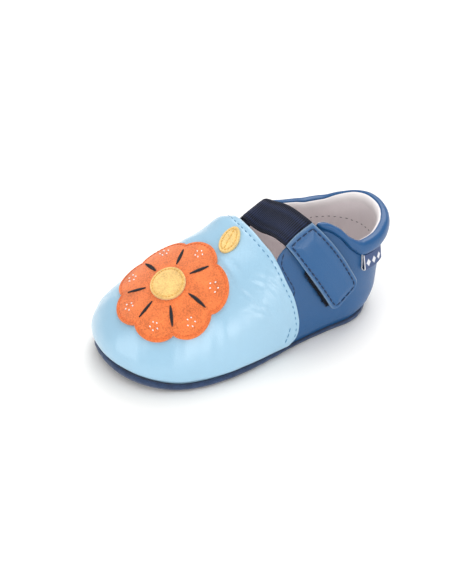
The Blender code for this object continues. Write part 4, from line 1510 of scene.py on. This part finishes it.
@dataclass
class Strap:
    """Elastic over the instep, and the leather tab with its fastening patch on the lateral side."""

    pattern: Pattern
    top_rear: tuple[float, float] = (39.6, 57.4)
    top_front: tuple[float, float] = (51.2, 48.4)
    end_rear: tuple[float, float] = (20.3, 23.0)
    end_front: tuple[float, float] = (32.3, 13.2)
    bow: float = 1.6
    bow_power: float = 0.7
    length: float = 42.0
    corner: float = 4.0
    corner_rows: int = 26
    top_reach: float = 0.03
    top_rows: int = 8
    rows: int = 60
    columns: int = 61
    standoff: float = 2.2
    thickness: float = 1.4
    puff: float = 0.5
    puff_run: float = 3.5
    edge_round: float = 0.6
    edge_wear: float = 0.3
    groove_depth: float = 0.2
    groove_half: float = 0.5
    stitch: Stitch = Stitch(2.4, 0.5, 0.28, 0.14)
    stitch_inset: float = 1.5
    stitch_sunk: float = 0.15
    stitch_least_turn: float = 0.8
    patch_start: float = 0.36
    patch_end: float = 0.91
    patch_inset: float = 0.12
    # share across the tab of the patch's front edge, past the tab's own edge: the dark pile there is partly
    # painted shade under the tab
    patch_front_hooks_and_shade: float = 1.02
    patch_rows: int = 120
    patch_columns: int = 60
    patch_thickness: float = 1.6
    patch_skin: float = 0.2
    patch_gap: float = 0.3
    pile_scale: float = 100.0
    fibres: int = 260
    fibre_seed: int = 7
    fibre_radius: float = 0.09
    fibre_rise: float = 0.1
    fibre_spray: float = 0.35
    fibre_height: tuple[float, float] = (0.1, 1.0)
    fibre_length: tuple[float, float] = (0.4, 1.1)
    elastic_thickness: float = 1.2
    elastic_gap: float = 0.7
    elastic_tucked: float = 0.12
    elastic_passes: int = 60
    elastic_rows: int = 160
    elastic_sides: int = 72
    elastic_powers: tuple[float, float] = (0.55, 0.35)
    selvage: float = 0.80
    selvage_blend: float = 0.04
    bead_depth: float = 0.3
    bead_half: float = 0.03
    # rates along and across the patch, phase, height of its pile
    pile: Rows = ((3.1, 2.3, 0.2, 0.10), (4.7, -3.9, 1.0, 0.08), (7.3, 6.1, 2.0, 0.05))
    # across, station, height of the rear edge, then of the front edge
    elastic: Rows = (
        (-17.6, 41.5, 39.5, -15.9, 53.0, 34.5),
        (-17.0, 41.5, 43.5, -15.6, 53.0, 38.8),
        (-16.2, 41.5, 47.5, -15.4, 53.0, 42.8),
        (-13.2, 41.2, 50.2, -12.8, 52.8, 44.4),
        (-8.0, 40.6, 51.8, -8.0, 52.4, 43.4),
        (-2.0, 40.2, 54.2, -2.0, 52.1, 44.1),
        (6.0, 40.0, 56.2, 6.0, 52.0, 46.8),
        (12.5, 40.0, 57.0, 12.5, 52.0, 48.6),
    )

    def on_wall(self, along: Array, wide: Array) -> Array:
        """Wall points under the tab, from its top to its end and from its bowed rear edge to its front."""
        top, end = np.array([self.top_rear, self.top_front]), np.array([self.end_rear, self.end_front])
        rear = top[0] + (end[0] - top[0]) * along[..., None]
        rear[..., 0] -= self.bow * np.abs(np.sin(np.pi * along)) ** self.bow_power
        front = top[1] + (end[1] - top[1]) * along[..., None]
        station, height = np.moveaxis(rear + (front - rear) * wide[..., None], -1, 0)
        return self.pattern.last.lift(station, self.pattern.last.side_across(station, height, 1))

    def build(self, finishes: Finishes) -> None:
        """Build and dress the three pieces of the strap."""
        self.build_tab(finishes)
        self.build_patch(finishes)
        self.build_elastic(finishes)

    def build_tab(self, finishes: Finishes) -> None:
        """Build the tab: a rounded sheet that stands off the wall, with a stitched groove near its edge."""
        width = float(np.hypot(*np.subtract(self.top_front, self.top_rear)))
        edge = self.corner / self.length
        turn = np.linspace(0, np.pi / 2, self.corner_rows)[1:]
        straight = graded(((0.0, self.top_reach, self.top_rows), (self.top_reach, 1 - edge, self.rows)))
        along = np.concatenate([straight, 1 - edge + edge * np.sin(turn)])
        into = np.clip((along - (1 - edge)) * self.length, 0, self.corner)
        cut = self.corner - np.sqrt(self.corner**2 - into**2)
        place = np.sin(np.linspace(-1, 1, self.columns) * np.pi / 2)
        half = (width / 2 - cut)[:, None]
        wide = 0.5 + half / width * place
        base = self.on_wall(np.broadcast_to(along[:, None], wide.shape), wide)
        normal = outward(base)
        ends = np.minimum(along, 1 - along)[:, None] * self.length
        inset = np.minimum(half * (1 - np.abs(place)), ends)
        round_edge = self.edge_round * (1 - rounded(inset, self.edge_round))
        groove = self.groove_depth * bell(inset, self.stitch_inset, self.groove_half)
        puff = self.puff * ease((inset - self.stitch_inset) / self.puff_run)
        offset = self.standoff + self.thickness - round_edge - groove + puff
        top = base + offset[..., None] * normal
        low = base + self.standoff * normal
        tab = Piece("strap_leather", self.pattern.last).slab(top, low, np.exp(-inset / self.edge_wear))
        tab.place(finishes.tab, "tab_leather", ["strap_tab"])
        path, facing = draped(self.on_wall(*self.stitch_path(width)), base, normal)
        path = path + (self.standoff + self.thickness - self.stitch_sunk) * facing
        rows = Piece("strap_stitching", self.pattern.last).stitches(path, facing, self.stitch)
        rows.place(finishes.navy_thread, "tab_leather")

    def stitch_path(self, width: float) -> tuple[Array, Array]:
        """Row of stitches down the rear edge, round the end, up the front edge and across.

        Args:
            width: width of the tab.

        Returns:
            Shares of the way along and across the tab.
        """
        inset, radius = self.stitch_inset, max(self.corner - self.stitch_inset, self.stitch_least_turn)
        low, high, stop = inset, width - inset, self.length - inset
        turn = np.linspace(0, np.pi / 2, 10)
        down = np.linspace(inset, stop - radius, 60)
        back = np.linspace(high, low, 20)
        rows = [
            np.stack([down, np.full_like(down, low)]),
            np.stack([stop - radius + radius * np.sin(turn), low + radius - radius * np.cos(turn)]),
            np.stack([stop - radius + radius * np.cos(turn), high - radius + radius * np.sin(turn)]),
            np.stack([down[::-1], np.full_like(down, high)]),
            np.stack([np.full_like(back, inset), back]),
        ]
        along, wide = np.concatenate(rows, axis=1)
        return along / self.length, wide / width

    def build_patch(self, finishes: Finishes) -> None:
        """Build the fastening patch under the tab, with a ragged edge; its dark pile reaches a little past
        the tab's front edge, partly real hooks and partly painted shade under the tab.
        """
        along, wide = np.meshgrid(
            np.linspace(self.patch_start, self.patch_end, self.patch_rows),
            np.linspace(self.patch_inset, self.patch_front_hooks_and_shade, self.patch_columns),
            indexing="ij",
        )
        base = self.on_wall(along, wide)
        normal = outward(base)
        rough = ripple(along * self.pile_scale, wide * self.pile_scale, self.pile)
        low = base + self.patch_gap * normal
        top = base + (self.patch_gap + self.patch_thickness - self.patch_skin + rough)[..., None] * normal
        patch = Piece("hook_fastener", self.pattern.last).slab(top, low, np.zeros(along.shape))
        chance = np.random.default_rng(self.fibre_seed)
        row = chance.uniform(0, len(base) - 1, self.fibres).astype(int)
        height = chance.uniform(*self.fibre_height, (self.fibres, 1))
        starts = low[row, -1] * (1 - height) + top[row, -1] * height
        ahead = unit(base[row, -1] - base[row, -8])
        spray = chance.normal(0, self.fibre_spray, starts.shape)
        length = chance.uniform(*self.fibre_length, (self.fibres, 1))
        ends = starts + length * (ahead + spray)
        patch.threads(starts, ends, normal[row, -1], self.fibre_radius, self.fibre_rise)
        patch.place(finishes.hooks, "hook_patch", ["hook_patch"])

    def build_elastic(self, finishes: Finishes) -> None:
        """Build the elastic: a flat section with beaded long edges carried along its path."""
        free = np.array(self.elastic).reshape(-1, 2, 3)
        tuck = np.linspace(0, self.elastic_tucked, 4)
        tucked = self.on_wall(*np.meshgrid(tuck, np.array([0.0, 0.5, 1.0]), indexing="ij"))
        tucked = (tucked + self.elastic_gap * outward(tucked))[:, ::2]
        knots = np.concatenate([free, tucked])
        far = walked(knots.mean(axis=1))
        path = np.linspace(0, far[-1], self.elastic_rows)
        edges = np.stack([smooth(path, far, column) for column in knots.reshape(len(knots), 6).T], -1)
        edges = edges.reshape(len(path), 2, 3)
        for _ in range(self.elastic_passes):
            edges[1:-1] = 0.25 * edges[:-2] + 0.5 * edges[1:-1] + 0.25 * edges[2:]
        span = edges[:, 1] - edges[:, 0]
        normal = unit(np.cross(np.gradient(edges.mean(axis=1), axis=0), span))
        angle = np.linspace(0, 2 * np.pi, self.elastic_sides, endpoint=False)
        wide, high = superellipse(angle, *self.elastic_powers)
        bead = 1 - self.bead_depth * bell(np.abs(wide), self.selvage, self.bead_half)
        half = self.elastic_thickness / 2
        across = (0.5 - 0.5 * wide)[:, None] * span[:, None]
        rise = (half + half * high * bead)[:, None] * normal[:, None]
        points = edges[:, :1] + across + rise
        trim = np.broadcast_to(ease((np.abs(wide) - self.selvage) / self.selvage_blend), points.shape[:2])
        band = Piece("strap_webbing", self.pattern.last).grid(points, closed=True, marks={"edge": trim})
        for ring, flip in ((points[0], True), (points[-1], False)):
            cap = np.stack([ring, np.broadcast_to(ring.mean(axis=0), ring.shape)])
            band.grid(cap, closed=True, flip=flip)
        band.place(finishes.elastic, "elastic_webbing", ["strap_elastic"])


@dataclass
class HeelTag:
    """Folded tag with woven diamonds, which hangs from the collar seam on the lateral heel."""

    pattern: Pattern
    start: float = 0.766
    end: float = 0.850
    top_drop: float = -0.4
    drop: float = 6.6
    thickness: float = 0.5
    loop: float = 1.3
    gap: float = 0.3
    diamonds: int = 3
    columns: int = 90
    side_rows: int = 50
    fold_rows: int = 15
    # share of the loop that the tag keeps open at its top
    open_top: float = 0.35
    # pitch, half size, slope, middle height and blend of the woven diamonds
    weave: tuple[float, ...] = (0.56, 0.42, 1.4, 0.62, 0.1)
    weave_end: float = 0.86
    selvage: float = 0.93
    selvage_blend: float = 0.03

    def build(self, finishes: Finishes) -> None:
        """Build the tag: a sheet that runs down, round a fold and up again, then thickened."""
        last = self.pattern.last
        around = np.linspace(self.start, self.end, self.columns)
        foot = last.outline(around)
        spine, along, out, gone, _ = last.rays(*foot)
        station = foot[0]
        high = self.pattern.collar_top(station, 1) - self.pattern.roll_height(station) - self.top_drop
        turn = np.linspace(0, np.pi, self.fold_rows)
        bulge = self.loop / 2
        down = np.linspace(0, 1, self.side_rows)[:-1]
        level, back = np.zeros_like(down), down[::-1]
        opened = self.loop * (self.open_top + (1 - self.open_top) * back)
        fall = np.concatenate([down, np.ones(len(turn)), back])[:, None]
        sag = np.concatenate([level, -bulge * np.sin(turn), level])[:, None]
        off = np.concatenate([level, bulge * (1 - np.cos(turn)), opened])[:, None]
        height = high - self.drop * fall
        share = last.wall_share(np.broadcast_to(station, height.shape), height)
        base = last.lift(spine + share * gone * along, share * gone * out)
        reach = self.gap + self.thickness + off
        points = np.stack([base[..., 0] + reach * out, base[..., 1] + reach * along, height + sag], -1)
        side = np.linspace(-1, 1, len(around))
        pitch, size, slope, middle, blend = self.weave
        lean = np.abs((side * self.diamonds * pitch + self.diamonds / 2) % 1 - 0.5)
        front = np.concatenate([level, np.zeros_like(turn), np.ones_like(down)])[:, None]
        diamond = front * ease((size - lean - slope * np.abs(fall - middle)) / blend)
        diamond = diamond * (np.abs(side) < self.weave_end)
        edge = np.maximum(diamond, ease((np.abs(side) - self.selvage) / self.selvage_blend))
        tag = Piece("heel_tag", last).grid(points, marks={"edge": edge})
        obj = tag.place(finishes.tag, "woven_tag", ["heel_label"])
        solid = obj.modifiers.new("tape", "SOLIDIFY")
        solid.thickness = self.thickness * MM
        solid.offset = 1.0


@dataclass
class Applique:
    """Suede flower and leaf laid on the vamp, with embroidery."""

    pattern: Pattern
    on_vamp: float = 1.5
    flower: tuple[float, float] = (98.0, 6.0)
    radius: float = 24.0
    petals: int = 7
    petal_depth: float = 3.2
    petal_roundness: float = 0.7
    turn: float = 0.25
    thickness: float = 1.1
    centre_radius: float = 7.2
    centre_thickness: float = 0.8
    lay: float = 0.55
    leaf: tuple[float, float] = (68.9, 4.0)
    leaf_length: float = 6.6
    leaf_half_width: float = 4.0
    leaf_turn: float = 0.5
    edge_round: float = 0.4
    edge_wear: float = 0.4
    under: float = 0.45
    groove_depth: float = 0.16
    groove_half: float = 0.45
    stitch_inset: float = 1.3
    centre_stitch_inset: float = 1.0
    stitch_sunk: float = 0.1
    petal_stitch: Stitch = Stitch(1.3, 0.35, 0.22, 0.16)
    centre_stitch: Stitch = Stitch(1.1, 0.3, 0.2, 0.16)
    leaf_stitch: Stitch = Stitch(1.1, 0.35, 0.2, 0.16)
    vein_stitch: Stitch = Stitch(1.4, 0.3, 0.24, 0.16)
    vein_reach: float = 0.72
    ray_start: float = 9.6
    ray_end: float = 17.4
    ray_threads: int = 22
    ray_width: float = 1.5
    ray_foot: float = 9.0
    ray_span: float = 9.0
    ray_power: float = 0.7
    # half a seed's turn about the flower, and half its length
    seed_half: tuple[float, float] = (0.012, 0.3)
    # distance and turn over which a normal is measured
    probe: tuple[float, float] = (0.3, 0.02)
    walk_reach: float = 2.2
    walk_steps: int = 240
    petal_points: int = 420
    centre_points: int = 140
    leaf_points: int = 200
    edge_points: int = 500
    vein_points: int = 40
    # half thickness and rise of the embroidery threads
    ray_thread: tuple[float, float] = (0.24, 0.3)
    seed_thread: tuple[float, float] = (0.3, 0.2)
    # start, end and count of the rings of a cut-out, closer at its edge
    spacing: Rows = ((1.0, 0.94, 9), (0.94, 0.02, 34))
    # heading off the middle of a petal, distance from the middle of the flower
    seeds: Rows = ((-0.09, 18.6), (0.0, 19.6), (0.09, 18.6), (-0.05, 16.6), (0.05, 16.6))

    def spread(self, place: tuple[float, float], angle: Array, radius: Array) -> Array:
        """Wall points at distances measured over the last from a middle point.

        Args:
            place: station and distance across of the middle.
            angle: headings, one for each column.
            radius: distances over the surface, rows x columns.

        Returns:
            Points, rows x columns x 3, where each ray is walked until it is long enough.
        """
        last = self.pattern.last
        reach = np.linspace(0, self.walk_reach * radius.max(), self.walk_steps)
        ray = last.lift(place[0] + reach * np.cos(angle)[:, None], place[1] + reach * np.sin(angle)[:, None])
        length = walked(np.swapaxes(ray, 0, 1)).T
        cell = np.clip((length[None] < radius[..., None]).sum(axis=-1) - 1, 0, len(reach) - 2)
        columns = np.arange(len(angle))
        low, high = length[columns, cell], length[columns, cell + 1]
        share = np.clip((radius - low) / np.maximum(high - low, 1e-9), 0, 1)
        plan = reach[cell] + (reach[1] - reach[0]) * share
        return last.lift(place[0] + plan * np.cos(angle), place[1] + plan * np.sin(angle))

    def cut_out(
        self, name: str, place: tuple[float, float], radius: Array, low: float, thickness: float
    ) -> Piece:
        """A suede cut-out: rings from its outline to its middle, rounded at the edge.

        Args:
            name: name of the piece.
            place: station and distance across of the middle.
            radius: outline as a distance at each heading.
            low: height of its underside above the wall.
            thickness: thickness of the suede.

        Returns:
            The piece, not yet placed.
        """
        angle = np.linspace(0, 2 * np.pi, len(radius), endpoint=False)
        share = graded(self.spacing)
        base = self.spread(place, angle, share[:, None] * radius)
        normal = outward(base, closed=True)
        inset = (1 - share[:, None]) * radius
        round_edge = self.edge_round * (1 - rounded(inset, self.edge_round))
        groove = self.groove_depth * bell(inset, self.stitch_inset, self.groove_half)
        offset = low + thickness - round_edge - groove
        top = base + offset[..., None] * normal
        under = base + (low - self.under) * normal
        rows = [
            np.concatenate([grid, np.broadcast_to(grid[-1].mean(axis=0), grid[-1:].shape)])
            for grid in (top, under)
        ]
        edge = np.concatenate([np.exp(-inset / self.edge_wear), np.zeros((1, len(radius)))])
        return Piece(name, self.pattern.last).slab(*rows, edge, closed=True)

    def on_face(
        self, place: tuple[float, float], angle: Array, radius: Array, rise: float
    ) -> tuple[Array, Array]:
        """Points and normals at polar places on a cut-out, raised above the wall."""
        step, turn = self.probe
        near = np.stack([radius - step, radius, radius + step])
        grid = self.spread(place, angle, near)
        wide = self.spread(place, angle + turn, near)
        normal = unit(np.cross(grid[0] - grid[2], wide[1] - grid[1]))
        return grid[1] + rise * normal, normal

    def petal_radius(self, angle: Array) -> Array:
        """Outline of the flower: a round with one lobe for each petal."""
        lobe = np.abs(np.sin(self.petals * (angle - self.turn) / 2)) ** self.petal_roundness
        return self.radius - self.petal_depth + self.petal_depth * lobe

    def leaf_radius(self, angle: Array) -> Array:
        """Outline of the leaf: an ellipse turned on the vamp."""
        turned = angle - self.leaf_turn
        return self.leaf_length * self.leaf_half_width / np.hypot(
            self.leaf_half_width * np.cos(turned), self.leaf_length * np.sin(turned)
        )

    def build(self, finishes: Finishes) -> None:
        """Build and dress flower, middle, leaf and their embroidery."""
        low = self.on_vamp + self.lay
        high = low + self.thickness
        angle = np.linspace(0, 2 * np.pi, self.petal_points, endpoint=False)
        flower = self.cut_out("petals", self.flower, self.petal_radius(angle), low, self.thickness)
        flower.place(finishes.petal, "petal_suede", ["flower_petals"])
        on_top = high + self.lay
        disc = np.full(self.centre_points, self.centre_radius)
        middle = self.cut_out("flower_middle", self.flower, disc, on_top, self.centre_thickness)
        middle.place(finishes.centre, "centre_suede", ["flower_centre"])
        angle = np.linspace(0, 2 * np.pi, self.leaf_points, endpoint=False)
        leaf = self.cut_out("leaf", self.leaf, self.leaf_radius(angle), low, self.centre_thickness)
        leaf.place(finishes.leaf, "leaf_suede", ["leaf_patch"])
        self.embroider(finishes, high, on_top + self.centre_thickness, low + self.centre_thickness)

    def embroider(self, finishes: Finishes, petal_top: float, middle_top: float, leaf_top: float) -> None:
        """Sew the edges, the dark rays between the petals, the pale seeds and the veins of the leaf."""
        last = self.pattern.last
        turn = np.linspace(0, 2 * np.pi, self.edge_points)
        sunk = self.stitch_sunk
        edge = self.on_face(self.flower, turn, self.petal_radius(turn) - self.stitch_inset, petal_top - sunk)
        rows = Piece("petal_stitching", last).stitches(*edge, self.petal_stitch)
        rows.place(finishes.orange_thread, "petal_suede")
        disc = np.full(len(turn), self.centre_radius - self.centre_stitch_inset)
        edge = self.on_face(self.flower, turn, disc, middle_top - sunk)
        gold = Piece("gold_stitching", last).stitches(*edge, self.centre_stitch)
        edge = self.on_face(self.leaf, turn, self.leaf_radius(turn) - self.stitch_inset, leaf_top - sunk)
        gold.stitches(*edge, self.leaf_stitch)
        along = np.linspace(-self.vein_reach, self.vein_reach, self.vein_points) * self.leaf_length
        heading = np.where(along >= 0, self.leaf_turn, self.leaf_turn + np.pi)
        vein = self.on_face(self.leaf, heading, np.abs(along) + 0.05, leaf_top)
        gold.stitches(*vein, self.vein_stitch).place(finishes.gold_thread, "leaf_suede")
        notch = self.turn + 2 * np.pi * np.arange(self.petals) / self.petals
        reach = np.linspace(self.ray_start, self.ray_end, self.ray_threads)
        share = np.clip((reach - self.ray_foot) / self.ray_span, 0, 1)
        width = self.ray_width * np.sin(np.pi * share) ** self.ray_power
        middle, far = np.meshgrid(notch, reach, indexing="ij")
        half = (width / reach)[None] / 2
        starts, normal = self.on_face(self.flower, (middle - half).ravel(), far.ravel(), petal_top)
        ends, _ = self.on_face(self.flower, (middle + half).ravel(), far.ravel(), petal_top)
        rays = Piece("ray_embroidery", last).threads(starts, ends, normal, *self.ray_thread)
        rays.place(finishes.black_thread, "petal_suede")
        offset, distance = np.array(self.seeds).T
        heading = (notch[:, None] + np.pi / self.petals + offset).ravel()
        far = np.tile(distance, self.petals)
        lean, half = self.seed_half
        starts, normal = self.on_face(self.flower, heading - lean, far - half, petal_top)
        ends, _ = self.on_face(self.flower, heading + lean, far + half, petal_top)
        seeds = Piece("seed_embroidery", last).threads(starts, ends, normal, *self.seed_thread)
        seeds.place(finishes.white_thread, "petal_suede")


# Studio


@dataclass(frozen=True)
class Lamp:
    """A soft square light aimed at the shoe: direction in degrees, metres off and across, power in watts."""

    name: str
    azimuth: float
    elevation: float
    distance: float
    size: float
    power: float


def direction(azimuth: float, elevation: float) -> Vector:
    """Unit vector towards a place: azimuth 0 is towards the toe, 90 towards the lateral side."""
    a, e = np.radians(azimuth), np.radians(elevation)
    return Vector((np.sin(a) * np.cos(e), -np.cos(a) * np.cos(e), np.sin(e)))


@dataclass
class Studio:
    """Pale floor, soft lights and the camera at the viewing angle of the photograph."""

    aim: tuple[float, float, float] = (0.0002, -0.0042, 0.022)
    distance: float = 0.8
    azimuth: float = 59.87
    elevation: float = 36.04
    lens: float = 117.01
    sensor: float = 36.0
    frame_height: float = 584.0
    off_right: float = -10.74
    off_up: float = -6.72
    sky: float = 0.62
    floor_colour: Colour = (0.955, 0.94, 0.915)
    floor_half: float = 4.0
    lamps: tuple[Lamp, ...] = (
        Lamp("key_softbox", -140.0, 50.0, 1.0, 0.7, 6.0),
        Lamp("front_softbox", 0.0, 15.0, 0.9, 0.5, 1.9),
        Lamp("side_softbox", 80.0, 12.0, 1.0, 0.5, 2.9),
        Lamp("low_softbox", 118.0, 5.0, 1.0, 0.3, 1.4),
        Lamp("top_softbox", 40.0, 84.0, 1.0, 0.8, 3.0),
    )

    def build(self) -> None:
        """Set up floor, world, lights and camera."""
        self.build_floor()
        self.build_lights()
        self.build_camera()

    def build_floor(self) -> None:
        """Lay a wide level floor under the sole."""
        half = self.floor_half
        mesh = bpy.data.meshes.new("floor")
        corners = [(-half, -half, 0.0), (half, -half, 0.0), (half, half, 0.0), (-half, half, 0.0)]
        mesh.from_pydata(corners, [], [(0, 1, 2, 3)])
        material, graph, shader = new_material("floor_paper", self.floor_colour)
        pale = graph.shaded(graph.noise(graph.place(), 700.0, 2.0, 0.5), self.floor_colour, 0.01)
        graph.feed(shader, {"Base Color": pale, "Roughness": 0.9, "Specular IOR Level": 0.1})
        mesh.materials.append(material)
        floor = bpy.data.objects.new("floor", mesh)
        bpy.context.scene.collection.objects.link(floor)

    def build_lights(self) -> None:
        """Light the shoe with a white world and soft squares."""
        scene = bpy.context.scene
        scene.view_settings.view_transform = "Standard"
        scene.world = bpy.data.worlds.new("white_room")
        scene.world.use_nodes = True
        room = scene.world.node_tree.nodes["Background"]
        room.inputs["Color"].default_value = (1.0, 1.0, 1.0, 1.0)
        room.inputs["Strength"].default_value = self.sky
        for lamp in self.lamps:
            light = bpy.data.lights.new(lamp.name, "AREA")
            light.size = lamp.size
            light.energy = lamp.power
            obj = bpy.data.objects.new(lamp.name, light)
            way = direction(lamp.azimuth, lamp.elevation)
            obj.location = Vector(self.aim) + way * lamp.distance
            obj.rotation_euler = way.to_track_quat("Z", "Y").to_euler()
            scene.collection.objects.link(obj)

    def build_camera(self) -> None:
        """Place the camera, with the small shift that the photograph's framing needs."""
        data = bpy.data.cameras.new("camera")
        data.lens = self.lens
        data.sensor_width = self.sensor
        data.shift_x = self.off_right / self.frame_height
        data.shift_y = self.off_up / self.frame_height
        data.clip_start, data.clip_end = 0.01, 100.0
        camera = bpy.data.objects.new("camera", data)
        way = direction(self.azimuth, self.elevation)
        camera.location = Vector(self.aim) + way * self.distance
        camera.rotation_euler = way.to_track_quat("Z", "Y").to_euler()
        bpy.context.scene.collection.objects.link(camera)
        bpy.context.scene.camera = camera


def main() -> None:
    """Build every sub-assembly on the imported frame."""
    logging.basicConfig(level=logging.INFO, format="%(name)s %(message)s")
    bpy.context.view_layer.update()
    pattern = Pattern()
    finishes = Finishes()
    Studio().build()
    sole = Sole(pattern.last)
    sole.build(finishes)
    Upper(pattern, sole).build(finishes)
    Vamp(pattern).build(finishes)
    Collar(pattern).build(finishes)
    Strap(pattern).build(finishes)
    HeelTag(pattern).build(finishes)
    Applique(pattern).build(finishes)


if __name__ == "__main__":
    main()
